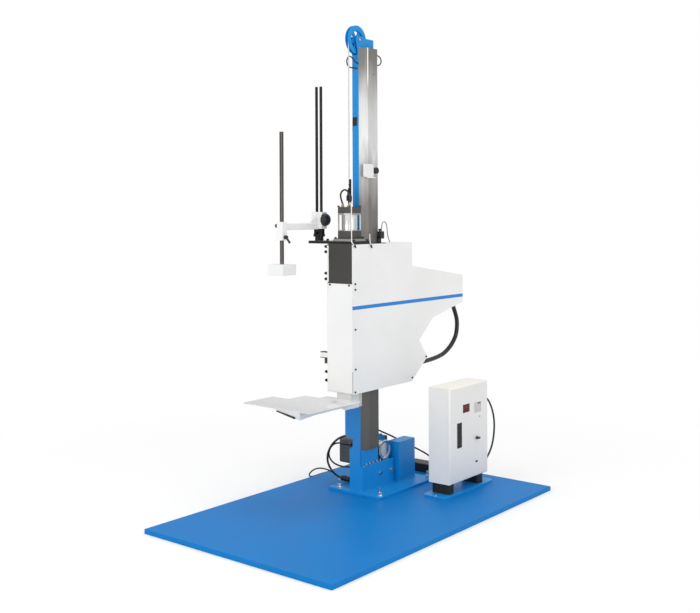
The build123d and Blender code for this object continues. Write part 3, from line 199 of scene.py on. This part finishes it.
def layered(name, base, gloss, tone=0.12, grain=900.0, depth=0.00006, scuffs=0.25, dust=0.12, **constants):
    """A finish with uneven tone, fine grain, a few scuffs, and dust on what faces up."""
    made = Finish(name, **constants)
    broad = made.noise(5.0, 5.0)
    fine = made.noise(grain, 2.0)
    colour = made.mix(broad.step(0.3, 0.7), darker(base, 1 - tone), darker(base, 1 + tone * 0.6))
    scratch = made.noise(60.0, 2.0, 0.6, made.stretched(1.0, 9.0, 0.7)).step(0.66, 0.72)
    scuff = scratch * made.noise(9.0, 3.0).step(0.52, 0.62)
    colour = made.mix(scuff * scuffs, colour, blend_of(base, worn_grey, 0.35))
    settled = made.facing_z.step(0.6, 0.95) * made.noise(14.0, 6.0, 0.7).step(0.42, 0.75)
    made.base_colour = made.mix(settled * dust, colour, dust_grey)
    made.colour(made.base_colour)
    made.rough((broad - 0.5) * 0.12 + (fine - 0.5) * 0.1 + scuff * 0.18 + settled * (dust * 1.2) + gloss)
    made.relief(fine, 0.35, depth)
    return made


blue = linear(10, 142, 216)
white = linear(236, 236, 234)
blue_paint = layered("blue_paint", blue, 0.4, tone=0.05, grain=420.0, depth=0.00006, dust=0.03,
                     Coat_Weight=0.1, Coat_Roughness=0.15, Specular_IOR_Level=0.35)
plate_paint = layered("plate_paint", linear(2, 118, 192), 0.45, tone=0.06, grain=300.0, depth=0.0001,
                      scuffs=0.05, dust=0.01, Specular_IOR_Level=0.12)
white_paint = layered("white_paint", white, 0.42, tone=0.025, grain=1400.0, depth=0.00008,
                      scuffs=0.12, dust=0.05)
arm_paint = layered("arm_paint", linear(222, 222, 220), 0.4, tone=0.05, grain=900.0, dust=0.05)
dark_paint = layered("dark_paint", linear(52, 50, 46), 0.55, tone=0.16, grain=700.0, depth=0.0001, dust=0.1)
black_steel = layered("black_steel", linear(22, 21, 22), 0.28, tone=0.1, grain=300.0, depth=0.00001,
                      scuffs=0.03, dust=0.02, Metallic=0.5)
grey_casting = layered("grey_casting", linear(84, 84, 82), 0.55, tone=0.14, grain=350.0, depth=0.0004,
                       dust=0.2)
black_plastic = layered("black_plastic", linear(24, 24, 25), 0.42, tone=0.2, grain=1500.0, depth=0.00005,
                        dust=0.1)
white_plastic = layered("white_plastic", linear(233, 233, 232), 0.45, tone=0.03, grain=1200.0, dust=0.04)
black_rubber = layered("black_rubber", linear(20, 20, 21), 0.55, tone=0.25, grain=900.0, depth=0.00012,
                       dust=0.18)
red_plastic = layered("red_plastic", linear(92, 12, 16), 0.25, tone=0.1, grain=600.0, depth=0.00003,
                      scuffs=0.0, dust=0.0, Specular_IOR_Level=0.25)


def brushed(name, base, gloss, along, tone=0.15, metal=0.9):
    """Metal with fine parallel marks, which run along the axis with the small scale."""
    made = Finish(name, Metallic=metal)
    lines = made.noise(40.0, 3.0, 0.6, made.stretched(*along))
    broad = made.noise(4.0, 4.0)
    colour = made.mix(lines.step(0.3, 0.7), darker(base, 1 - tone), darker(base, 1 + tone * 0.5))
    made.base_colour = made.mix(broad.step(0.35, 0.75) * 0.35, colour, darker(base, 0.75))
    made.colour(made.base_colour)
    made.rough((lines - 0.5) * 0.2 + (broad - 0.5) * 0.15 + gloss)
    made.relief(lines, 0.25, 0.00004)
    return made


bright_steel = brushed("bright_steel", linear(226, 226, 225), 0.16, (3.0, 3.0, 3.0), tone=0.08, metal=1.0)
bar_metal = brushed("bar_metal", linear(122, 116, 111), 0.35, (14.0, 14.0, 0.3), metal=0.6)


def guide_metal():
    """Satin profile with painted reflection and painted shade that change slowly with height, and a painted
    highlight line down its upper edge.
    """
    low, high = 0.2, 2.07
    highlight_line_left, highlight_line_right = -0.1056, -0.1036
    highlight_line_front, highlight_line_back = 0.1895, 0.1945
    made = Finish("guide_metal", Metallic=0.25)
    lines = made.noise(50.0, 3.0, 0.6, made.stretched(10.0, 10.0, 0.15))
    cloud = made.noise(4.0, 3.0, 0.5, made.stretched(5.0, 5.0, 0.9))
    # The tone by height is painted light: a bright band of painted reflection high up the profile, dimmer
    # above it, and painted shade over the lower part.
    height = made.z + (cloud - 0.5) * 0.3
    tone = made.ramp(height.step(low, high), [
        (0.0, linear(88, 87, 82)), (0.28, linear(94, 92, 88)), (0.56, linear(116, 113, 110)),
        (0.62, linear(122, 118, 114)), (0.69, linear(180, 178, 174)), (0.76, linear(226, 226, 225)),
        (0.85, linear(214, 214, 212)), (0.91, linear(178, 176, 172)), (0.965, linear(128, 125, 120)),
        (1.0, linear(122, 119, 114))])
    colour = made.mix(lines.step(0.35, 0.7) * 0.14, tone, linear(70, 68, 66))
    # Painted highlight: a white line down the upper bevelled edge, high on the profile.
    edge = (made.x.within(highlight_line_left, highlight_line_right, 0.0004) * made.y.within(highlight_line_front, highlight_line_back, 0.0006)
            * made.z.step(1.87, 1.93))
    made.colour(made.mix(edge, colour, (0.95, 0.95, 0.95, 1.0)))
    made.rough((lines - 0.5) * 0.15 + 0.38)
    made.relief(lines, 0.2, 0.00004)
    return made


def deck_steel():
    """Ground steel: bright faces with a dark cut edge."""
    made = brushed("deck_steel", linear(206, 206, 205), 0.3, (0.4, 9.0, 9.0), metal=0.5)
    edge = 1.0 - made.facing_z.math("ABSOLUTE").step(0.4, 0.6)
    made.colour(made.mix(edge, made.base_colour, linear(38, 37, 36)))
    return made


def cylinder_metal():
    """Polished barrel between dark end caps over a grey foot, told apart by height, with a painted highlight
    band down the barrel.
    """
    foot_top, barrel_low, barrel_high = 1.1898, 1.2275, 1.3065
    barrel_highlight_left, barrel_highlight_right = -0.134, -0.106
    made = Finish("cylinder_metal", Metallic=0.35)
    lines = made.noise(40.0, 3.0, 0.6, made.stretched(0.4, 0.4, 8.0))
    cap = 1.0 - made.z.within(barrel_low, barrel_high, 0.0003)
    foot = 1.0 - made.z.step(foot_top, foot_top + 0.0006)
    # Painted highlight: a bright band down the barrel, placed by x.
    painted_highlight = made.x.within(barrel_highlight_left, barrel_highlight_right, 0.004)
    dull = made.mix(lines.step(0.3, 0.7), linear(142, 141, 138), linear(176, 175, 172))
    barrel_with_highlight = made.mix(painted_highlight, dull, linear(226, 225, 222))
    cast = made.mix(made.noise(30.0, 4.0), linear(58, 57, 55), linear(92, 90, 86))
    made.colour(made.mix(foot, made.mix(cap, barrel_with_highlight, cast), linear(158, 154, 148)))
    made.rough(cap * 0.3 + (lines - 0.5) * 0.15 + 0.2)
    made.relief(made.noise(500.0, 2.0), 0.2, 0.00006)
    return made


def socket_metal():
    """Black fork and cone; the stud and the hose fittings under them are brass."""
    fork_low = 1.3515
    made = Finish("socket_metal", Metallic=0.5)
    grime = made.noise(120.0, 4.0)
    brass = made.mix(grime, linear(150, 132, 104), linear(206, 190, 158))
    made.colour(made.mix(made.z.step(fork_low, fork_low + 0.0005), brass, linear(30, 29, 29)))
    made.rough(grime * 0.3 + 0.22)
    made.relief(made.noise(700.0, 2.0), 0.2, 0.00005)
    return made


def box_finish():
    """White box paint, with painted shade making it a shade darker on the panel side."""
    made = layered("box_paint", linear(240, 237, 229), 0.45, tone=0.02, grain=1500.0, depth=0.0001,
                   scuffs=0.12, dust=0.02)
    # Painted shade darkens the faces that point along +x.
    painted_shade_side = made.facing_x.step(0.5, 0.9)
    made.colour(made.mix(painted_shade_side * 0.7, made.base_colour, linear(220, 220, 219)))
    return made


def leaf_finish():
    """Polished leaf with a painted reflection: darker towards the front, brighter towards the column."""
    painted_reflection_front, painted_reflection_back = -0.28, -0.02
    made = layered("leaf_lacquer", linear(238, 238, 237), 0.14, tone=0.03, grain=500.0, depth=0.00002,
                   scuffs=0.3, dust=0.02, Metallic=0.2, Coat_Weight=0.4, Coat_Roughness=0.04)
    # Painted reflection: the colour darkens from the column towards the leaf's front edge.
    made.colour(made.mix(made.y.step(painted_reflection_front, painted_reflection_back), linear(214, 214, 214), made.base_colour))
    return made


def buffer_rubber():
    """Pale strip behind the hanger, black strip along the keel."""
    keel_back = -0.1
    made = Finish("buffer_rubber")
    wear = made.noise(80.0, 4.0)
    pale = made.mix(wear, linear(186, 180, 160), linear(212, 206, 188))
    black = made.mix(wear, linear(16, 16, 16), linear(36, 35, 34))
    made.colour(made.mix(made.y.step(keel_back, keel_back + 0.01), black, pale))
    made.rough(wear * 0.2 + 0.5)
    made.relief(made.noise(900.0, 2.0), 0.25, 0.0001)
    return made


def striped_cover():
    """White cover with a blue band across its outer face."""
    stripe_low, stripe_high = 0.8735, 0.8895
    outer_face = -0.0734
    made = layered("striped_cover", white, 0.42, tone=0.03, grain=1400.0, depth=0.00008,
                   scuffs=0.12, dust=0.05)
    band = made.z.within(stripe_low, stripe_high, 0.0006) * made.x.step(outer_face - 0.0004, outer_face)
    made.colour(made.mix(band, made.base_colour, linear(2, 124, 206)))
    return made


def rope_finish():
    """Rope of laid strands: slanted ridges round a thin round bar."""
    base = linear(222, 222, 220)
    made = Finish("rope_steel", Metallic=0.25)
    squeezed = made.node("VectorMath", {"operation": "MULTIPLY"}, {0: made.place, 1: (1.0, 1.0, 0.6)})
    waves = made.node("TexWave", {"bands_direction": "DIAGONAL"}, {
        "Vector": squeezed.outputs[0], "Scale": 160.0, "Distortion": 0.6, "Detail": 1.0})
    strands = Level(made, waves.outputs[1])
    # Painted shade darkens the grooves between the strands.
    made.colour(made.mix(strands * 0.5, darker(base, 0.75), base))
    made.rough(strands * -0.15 + 0.4)
    made.relief(strands, 0.3, 0.0003)
    return made


def cord_jacket(name, base, gloss, relief=0.3):
    """Soft jacket of a cable or hose, with rub marks."""
    made = Finish(name)
    rub = made.noise(45.0, 5.0, 0.65)
    fine = made.noise(1600.0, 2.0)
    made.colour(made.mix(rub.step(0.5, 0.8) * 0.5, base, blend_of(base, (0.3, 0.3, 0.3, 1.0), 0.25)))
    made.rough((rub - 0.5) * 0.25 + gloss)
    made.relief(fine, relief, 0.00006)
    return made


cable_black = cord_jacket("cable_black", linear(22, 22, 23), 0.45)
conduit_black = cord_jacket("conduit_black", linear(18, 18, 19), 0.28, relief=0.5)
cable_grey = cord_jacket("cable_grey", linear(150, 152, 155), 0.45)


def panel_finish():
    """The panel's window with its bars, keypad, lamp and jack, told apart by where they are."""
    window_left, window_right = 0.395, 0.445
    window_low, window_high = 0.2295, 0.348
    bar_face = 0.2386
    lamp_low, lamp_high, lamp_left = 0.3465, 0.3535, 0.59
    jack_high = 0.15
    soft = 0.001
    made = layered("panel_finish", linear(196, 194, 190), 0.35, tone=0.06, grain=900.0, scuffs=0.1, dust=0.0,
                   Specular_IOR_Level=0.2)
    window = (made.y.within(window_left, window_right, soft) * made.z.step(window_low, window_low + soft)
              * (1.0 - made.z.step(window_high - soft, window_high)))
    bars = window * made.x.step(bar_face, bar_face + 0.0002)
    lamp = made.z.within(lamp_low, lamp_high, 0.0005) * made.y.step(lamp_left, lamp_left + soft)
    jack = 1.0 - made.z.step(jack_high, jack_high + soft)
    colour = made.mix(window, made.base_colour, linear(10, 10, 11))
    colour = made.mix(bars, colour, linear(30, 31, 33))
    colour = made.mix(lamp, colour, linear(60, 90, 70))
    made.colour(made.mix(jack, colour, linear(18, 18, 18)))
    return made


node_finishes = {
    blue_paint: ("foot_weldment", "column_tube", "head_bracket", "head_sheave", "winch_cover", "box_plate"),
    plate_paint: ("base_plate",),
    guide_metal(): ("guide_profile",),
    bright_steel: ("frame_fasteners", "winch_drum", "cylinder_rod"),
    grey_casting: ("winch_gearbox", "winch_motor"),
    black_rubber: ("box_feet", "stop_buffer"),
    white_paint: ("left_cover", "front_cover", "rear_cover", "boom"),
    box_finish(): ("box_body", "box_lid"),
    striped_cover(): ("right_cover",),
    panel_finish(): ("panel_inserts",),
    black_plastic: ("junction_box", "cable_connector", "limit_switch", "boom_knob", "clamp_lever",
                    "limit_knob", "selector_knob"),
    dark_paint: ("carriage_frame",),
    deck_steel(): ("deck_plate",),
    black_steel: ("carriage_fasteners", "return_pulley", "roller_front_lower", "roller_front_upper",
                  "roller_rear_lower", "roller_rear_upper", "mast"),
    cylinder_metal(): ("release_cylinder",),
    socket_metal(): ("rope_socket",),
    arm_paint: ("swing_arm",),
    leaf_finish(): ("table_top",),
    buffer_rubber(): ("table_buffers",),
    bar_metal: ("pad_bar",),
    white_plastic: ("hold_pad", "limit_block"),
    red_plastic: ("rocker_switch",),
    rope_finish(): ("rope_rear", "rope_front"),
}
for finish, names in node_finishes.items():
    for name in names:
        mesh = nodes[name].data
        mesh.materials.clear()
        mesh.materials.append(finish.material)


# Width of the rounding on the edges of each piece, in millimetres
edge_sizes = {
    "winch_cover": 2.0, "base_plate": 1.5, "box_body": 1.5, "box_plate": 1.2,
    "foot_weldment": 0.8, "box_lid": 0.8, "deck_plate": 0.8, "boom": 0.8, "table_top": 0.8, "hold_pad": 0.8,
    "limit_block": 0.8, "left_cover": 0.6, "front_cover": 0.6, "right_cover": 0.6, "rear_cover": 0.6,
    "release_cylinder": 0.6, "carriage_frame": 0.6, "swing_arm": 0.6, "head_bracket": 0.6}
for name, size in edge_sizes.items():
    weld = nodes[name].modifiers.new("weld", "WELD")
    weld.merge_threshold = 0.00002
    rounding = nodes[name].modifiers.new("rounding", "BEVEL")
    rounding.width = size * mm
    rounding.segments = 2
    rounding.limit_method = "ANGLE"
    rounding.angle_limit = radians(38)


# Cords

def cord_curve(name, points, radius, finish):
    """A smooth line through the route's control points, in millimetres."""
    line = bpy.data.curves.new(name, "CURVE")
    line.dimensions = "3D"
    line.bevel_depth = radius * mm
    line.bevel_resolution = 5
    line.use_fill_caps = True
    spline = line.splines.new("NURBS")
    spline.points.add(len(points) - 1)
    for knot, (x, y, z) in zip(spline.points, points):
        knot.co = (x * mm, y * mm, z * mm, 1.0)
    spline.order_u = 3
    spline.use_endpoint_u = True
    spline.resolution_u = 8
    piece = bpy.data.objects.new(name, line)
    scene.collection.objects.link(piece)
    line.materials.append(finish.material)
    return piece


def lay_cord(name, node_names, body, points, radius, finish):
    """A cord along a route in millimetres, shown instead of the named nodes."""
    piece = cord_curve(name, points, radius, finish)
    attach(piece, body)
    if node_names:
        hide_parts(*node_names)
    exit_point = tuple(value * mm for value in points[0])


# Control points of each cord's route, in millimetres
post_route = [(-188, 206, 274), (-208, 206, 269), (-252, 206, 261), (-302, 207, 240), (-345, 208, 204),
    (-372, 209, 158), (-373, 210, 112), (-350, 215, 76), (-330, 226, 54), (-306, 230.8, 46.5)]
motor_route = [(-270.4, 246, 206), (-280, 224, 211), (-312, 222, 215), (-348, 223, 203), (-374, 224, 172),
    (-378, 225, 138), (-352, 226, 112), (-306, 226, 102), (-256, 227, 106), (-214, 228, 116),
    (-184, 228, 120)]
supply_route = [(-306, 241.2, 44.5), (-326, 246, 43), (-354, 256, 48), (-392, 262, 57), (-430, 264, 63),
    (-470, 262, 62), (-504, 256, 49), (-526, 250, 26), (-532, 262, 8), (-533, 296, 4.5), (-537, 350, 4.5),
    (-533, 405, 4.5), (-537, 460, 4.5), (-533, 515, 4.5), (-537, 570, 4.5), (-533, 625, 4.5),
    (-537, 680, 4.5), (-534, 735, 4.5), (-530, 786, 4.5), (-514, 832, 4.5), (-494, 868, 4.5)]
column_route = [(-146, 263, 300), (-148, 296, 291), (-153, 345, 269), (-156, 400, 246), (-156, 455, 221),
    (-155, 515, 190), (-140, 564, 164), (-118, 610, 137), (-100, 652, 110), (-92, 678, 86),
    (-91, 684, 62)]
controller_route = [(162, 682, 436), (170, 718, 430), (190, 752, 404), (206, 768, 350), (214, 772, 290),
    (212, 770, 226), (204, 762, 168), (184, 748, 112), (150, 726, 68), (104, 704, 44), (50, 690, 38),
    (-20, 686, 38)]
ring_route = [(-130, 151, 1992), (-130, 135, 1994), (-138, 127, 2010), (-154, 125, 2028),
    (-172, 125, 2020), (-176, 125, 1998), (-166, 127, 1978), (-148, 135, 1972), (-136, 151, 1972)]
arc_route = [(-115, 261, 2044), (-115, 289, 2042), (-115, 307, 2028), (-115, 307, 2010),
    (-115, 289, 1996), (-115, 261, 1994)]
hose_route = [(-166, 81, 1349), (-180, 81, 1377), (-178, 82, 1403), (-154, 83, 1417), (-132, 83, 1401),
    (-121, 82, 1377), (-124, 81, 1351)]
sensor_route = [(-88, 269, 1222), (-88, 269, 1246), (-88, 280, 1266), (-88, 300, 1266), (-88, 312, 1244),
    (-88, 314, 1214), (-88, 322, 1188), (-90, 336, 1170)]
conduit_route = [(-112, 908, 828), (-112, 926, 795), (-112, 945, 755), (-112, 946, 712), (-112, 935, 668),
    (-112, 893, 626), (-112, 836, 594), (-112, 781, 580), (-112, 699, 572), (-112, 637, 570),
    (-112, 594, 568)]

# The spare length of the supply cable is wound clockwise in two layers of two turns
coil_x, coil_y = -435.0, 900.0
coil_turns = ((47.5, 4.5), (39.0, 4.5), (39.0, 12.3), (47.5, 12.3))
turn_points, straight_points = 12, 8
for step in range(turn_points * len(coil_turns)):
    turn, share = divmod(step, turn_points)
    after = min(turn + 1, len(coil_turns) - 1)
    change = max(0, share - straight_points) / (turn_points - straight_points)
    reach, height = (first + (second - first) * change
                     for first, second in zip(coil_turns[turn], coil_turns[after]))
    angle = pi - 2 * pi * (step + 1) / turn_points
    supply_route.append((coil_x + reach * cos(angle), coil_y + reach * sin(angle), height))
supply_route += [(coil_x - 44, coil_y - 14, 22), (coil_x - 26, coil_y - 24, 28)]


def mesh_object(name, build, finish):
    """A new object whose bmesh, in metres, is filled by build."""
    shape = bmesh.new()
    build(shape)
    mesh = bpy.data.meshes.new(name)
    shape.to_mesh(mesh)
    shape.free()
    mesh.materials.append(finish.material)
    piece = bpy.data.objects.new(name, mesh)
    scene.collection.objects.link(piece)
    return piece


def shaped(name, body, finish, build, smooth=False):
    """A small detail that rides on a body."""
    def outward(shape):
        build(shape)
        bmesh.ops.recalc_face_normals(shape, faces=shape.faces)

    piece = mesh_object(name, outward, finish)
    for face in piece.data.polygons:
        face.use_smooth = smooth
    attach(piece, body)
    return piece


def add_block(shape, x, y, z, bevel=0.0):
    """A block from (low, high) pairs in millimetres, with its edges rounded by bevel."""
    size = [(high - low) * mm for low, high in (x, y, z)]
    middle = Vector([(low + high) / 2 * mm for low, high in (x, y, z)])
    place = Matrix.Translation(middle) @ Matrix.Diagonal((*size, 1.0))
    made = bmesh.ops.create_cube(shape, size=1.0, matrix=place)
    if bevel:
        edges = list(dict.fromkeys(edge for vert in made["verts"] for edge in vert.link_edges))
        bmesh.ops.bevel(shape, geom=edges, offset=bevel * mm, affect="EDGES", segments=3, profile=0.5,
                        material=-1)


def add_rod(shape, start, end, radius, sides=24, tip=None):
    """A round bar between two points in millimetres, or a cone if the tip has a radius of its own."""
    tip = radius if tip is None else tip
    start, end = Vector(start) * mm, Vector(end) * mm
    along = end - start
    place = Matrix.Translation((start + end) / 2) @ along.to_track_quat("Z", "Y").to_matrix().to_4x4()
    bmesh.ops.create_cone(shape, cap_ends=True, segments=sides, radius1=radius * mm, radius2=tip * mm,
                          depth=along.length, matrix=place)


def mains_plug(shape):
    """Plug body with two pins, lying on the coil."""
    body_end, pin_end, pin_height = coil_x + 16, coil_x + 34, 28
    add_block(shape, (coil_x - 26, body_end), (coil_y - 40, coil_y - 8), (16.2, 40), 5.0)
    for side in (-6, 6):
        pin_y = coil_y - 24 + side
        add_rod(shape, (body_end, pin_y, pin_height), (pin_end, pin_y, pin_height), 2.2)


plug = shaped("mains_plug", "frame", black_plastic, mains_plug)
lay_cord("supply_lead", ["supply_cable", "supply_coil"], "frame", supply_route, 3.5, cable_black)
lay_cord("post_lead", ["post_cable"], "frame", post_route, 5.0, cable_black)
lay_cord("motor_lead", ["motor_cable"], "frame", motor_route, 4.0, cable_black)
lay_cord("column_lead", ["column_cable"], "frame", column_route, 4.0, cable_black)
lay_cord("controller_lead", ["controller_cable"], "frame", controller_route, 4.5, cable_black)
lay_cord("head_lead_arc", [], "frame", arc_route, 3.0, cable_black)
lay_cord("head_lead_ring", ["head_cable"], "frame", ring_route, 3.0, cable_black)
lay_cord("air_lead", ["air_hose"], "carriage", hose_route, 4.0, cable_black)
lay_cord("sensor_lead", ["sensor_cable"], "carriage", sensor_route, 2.5, cable_grey)
lay_cord("conduit_hose", ["conduit"], "carriage", conduit_route, 11.0, conduit_black)


# Small details

def cable_tie(shape):
    """Flat black tie on the tube's front; it stays within the gap that the carriage leaves."""
    right = -137
    add_block(shape, (-163, right), (149.9, 151.3), (1708, 1748), 0.5)
    add_block(shape, (-146, right), (149.4, 150.4), (1714, 1742), 0.4)
    add_rod(shape, (-158, 150.4, 1710), (-164.6, 150.4, 1688), 0.7, 10)


def weld_bead(start, end, radius=2.6):
    """A row of overlapping scales along a joint."""
    def build(shape):
        first, last = Vector(start) * mm, Vector(end) * mm
        count = max(3, int((last - first).length / (radius * mm * 0.9)))
        for number in range(count + 1):
            centre = Matrix.Translation(first.lerp(last, number / count))
            bmesh.ops.create_icosphere(shape, subdivisions=1, radius=radius * mm, matrix=centre)
    return build


def rope_clamp(shape):
    """Bar beside the rope's end, with three screws."""
    add_block(shape, (-143.5, -136), (98, 108), (1352, 1462), 1.5)
    for z in (1372, 1404, 1436):
        add_rod(shape, (-140, 97.6, z), (-140, 94, z), 3.2, 6)


def cover_studs(shape):
    """Black hand nuts on the screws down the left cover."""
    cover, shank_end, knob_end, tip_end = -222, -230, -238, -243
    y = 44
    for z in (1155, 1131, 1033, 1007, 583, 544):
        add_rod(shape, (cover, y, z), (shank_end, y, z), 3.5)
        add_rod(shape, (shank_end, y, z), (knob_end, y, z), 7.0)
        add_rod(shape, (knob_end, y, z), (tip_end, y, z), 7.0, tip=4.5)


def latch_plates(shape):
    """Dark upper and lower plates and the tongue of the bracket on the left cover."""
    for z in ((671.2, 674), (646, 648.8)):
        add_block(shape, (-265.5, -221.5), (35, 59), z)
    add_block(shape, (-245, -236), (42, 51), (620, 646))


def cover_gap(shape):
    """Shadow line where two sheets meet at the lower front corner of the housing."""
    add_block(shape, (-73.6, -72.6), (32.4, 34.2), (501, 597))


def winch_gap(shape):
    """Shadow line at the rear edge of the winch cover."""
    add_block(shape, (-108.5, -107.6), (410.5, 414), (45, 136))


def ledge_screws(shape):
    """Five screws with nuts along the ledge of the foot."""
    count, first_y, pitch = 5, 178, 27
    x, ledge, nut_top, tip = -113.5, 144.5, 151, 155
    for number in range(count):
        y = first_y + pitch * number
        add_rod(shape, (x, y, ledge), (x, y, nut_top), 4.6, 6)
        add_rod(shape, (x, y, nut_top), (x, y, tip), 2.6, 16, 2.0)


def stay_rods(shape):
    """Thin rod from the rope clamp past the deck's corner to the right cover, and a short one behind it."""
    front_rod = [(-138, 95, 1357), (-66.5, 20, 1346), (-66.5, 21, 1178), (-68.5, 46, 1160)]
    rear_rod = [(-66.5, 152, 1212), (-66.5, 154, 1176), (-68.5, 166, 1157)]
    for rod in (front_rod, rear_rod):
        for start, end in zip(rod, rod[1:]):
            add_rod(shape, start, end, 2.3, 16)


def rod_tips(shape):
    """Black ends of the stay rods."""
    add_rod(shape, (-68, 42, 1164), (-69, 53, 1153), 3.4, 12)
    add_rod(shape, (-68, 162, 1163), (-69, 173, 1149), 3.4, 12)


def switch_bezel(shape):
    """Black rim round the rocker, and the dark mark on the keypad."""
    rim = (239.6, 241.4)
    left, right, low, high = 450.5, 504.5, 386.5, 423.5
    for y in ((left, 454), (501, right)):
        add_block(shape, rim, y, (low, high), 0.4)
    for z in ((low, 390.2), (419.8, high)):
        add_block(shape, rim, (left, right), z, 0.4)
    add_block(shape, (240.3, 241.2), (576, 600), (411, 416), 0.3)


def boom_screw(shape):
    """Screw with a wide head in the end of the boom."""
    boom_end, head, head_end = ((x, -189, 1252) for x in (-307, -322, -327))
    add_rod(shape, boom_end, head, 6.5, 20)
    add_rod(shape, head, head_end, 9.5, 20)


shaped("cable_tie", "frame", black_plastic, cable_tie)

floor_seams = [((-108, 154, 33), (-108, 384, 33)), ((-182, 145, 33), (-110, 145, 33)),
               ((-184, 154, 33), (-184, 262, 33)), ((-82, 394, 33), (-82, 520, 33))]
for number, (start, end) in enumerate(floor_seams):
    shaped(f"weld_bead_{number}", "frame", blue_paint, weld_bead(start, end), smooth=True)

shaped("rope_clamp", "carriage", black_steel, rope_clamp)
shaped("cover_studs", "carriage", black_steel, cover_studs)
shaped("cover_gap", "carriage", black_rubber, cover_gap)
shaped("winch_gap", "frame", black_rubber, winch_gap)
shaped("ledge_screws", "frame", bright_steel, ledge_screws)
shaped("stay_rods", "carriage", white_plastic, stay_rods)
shaped("rod_tips", "carriage", black_plastic, rod_tips)
shaped("latch_plates", "carriage", dark_paint, latch_plates)
shaped("switch_bezel", "frame", black_plastic, switch_bezel)
shaped("boom_screw", "boom", black_plastic, boom_screw)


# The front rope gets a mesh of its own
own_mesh(nodes["rope_front"])


# Floor and light

# The floor takes shadows near the machine and turns plain white away from it, for the camera only
shadow_end, white_from = 1.0, 2.6
floor_paint = Finish("floor_paint", Roughness=0.8, Specular_IOR_Level=0.1)
floor_paint.colour((0.92, 0.92, 0.92, 1.0))
plain_white = floor_paint.node("Emission", {}, {"Color": (1.0, 1.0, 1.0, 1.0), "Strength": 1.0})
spread = floor_paint.node("VectorMath", {"operation": "LENGTH"}, {0: floor_paint.place})
far = Level(floor_paint, spread.outputs[1]).step(shadow_end, white_from).math("POWER", 0.6)
camera_only = Level(floor_paint, floor_paint.node("LightPath").outputs[0])
floor_look = floor_paint.node("MixShader", {}, {
    0: far * camera_only, 1: floor_paint.shader.outputs[0], 2: plain_white.outputs[0]})
floor_output = next(node for node in floor_paint.tree.nodes if node.type == "OUTPUT_MATERIAL")
floor_paint.put(floor_output.inputs[0], floor_look.outputs[0])


def floor_grid(shape):
    bmesh.ops.create_grid(shape, x_segments=1, y_segments=1, size=30.0)


mesh_object("floor", floor_grid, floor_paint)

# The camera sees white all round; the machine is lit by a grey that pales with height
world = bpy.data.worlds.new("studio")
scene.world = world
world.use_nodes = True
sky = world.node_tree
sky.nodes.clear()
path = sky.nodes.new("ShaderNodeLightPath")
seen = sky.nodes.new("ShaderNodeBackground")
seen.inputs["Color"].default_value = (1.0, 1.0, 1.0, 1.0)
seen.inputs["Strength"].default_value = 1.0
fill = sky.nodes.new("ShaderNodeBackground")
fill.inputs["Strength"].default_value = 1.0
heading = sky.nodes.new("ShaderNodeTexCoord")
height = sky.nodes.new("ShaderNodeSeparateXYZ")
tones = sky.nodes.new("ShaderNodeValToRGB")
low_tone, high_tone = tones.color_ramp.elements
low_tone.position, low_tone.color = 0.0, (0.55, 0.55, 0.56, 1.0)
high_tone.position, high_tone.color = 0.6, (0.92, 0.92, 0.92, 1.0)
both = sky.nodes.new("ShaderNodeMixShader")
out = sky.nodes.new("ShaderNodeOutputWorld")
for source, target in (
        (heading.outputs["Generated"], height.inputs[0]), (height.outputs[2], tones.inputs[0]),
        (tones.outputs[0], fill.inputs["Color"]), (path.outputs["Is Camera Ray"], both.inputs[0]),
        (fill.outputs[0], both.inputs[1]), (seen.outputs[0], both.inputs[2]),
        (both.outputs[0], out.inputs["Surface"])):
    sky.links.new(source, target)


def lamp(name, place, target, size, power):
    """A round area lamp, size metres wide and of so many watts, aimed at a target."""
    light = bpy.data.lights.new(name, "AREA")
    light.shape = "DISK"
    light.size = size
    light.energy = power
    thing = bpy.data.objects.new(name, light)
    scene.collection.objects.link(thing)
    thing.location = place
    thing.rotation_mode = "QUATERNION"
    thing.rotation_quaternion = (Vector(target) - Vector(place)).to_track_quat("-Z", "Y")


lamp("key_light", place=(-0.4, -4.8, 2.3), target=(-0.1, 0.2, 0.8), size=2.8, power=62)
lamp("side_light", place=(4.6, -0.6, 1.5), target=(-0.1, 0.2, 0.6), size=2.4, power=31)
lamp("top_light", place=(0.2, 0.6, 5.2), target=(0.0, 0.3, 0.6), size=3.0, power=40)

scene.view_settings.view_transform = "Standard"
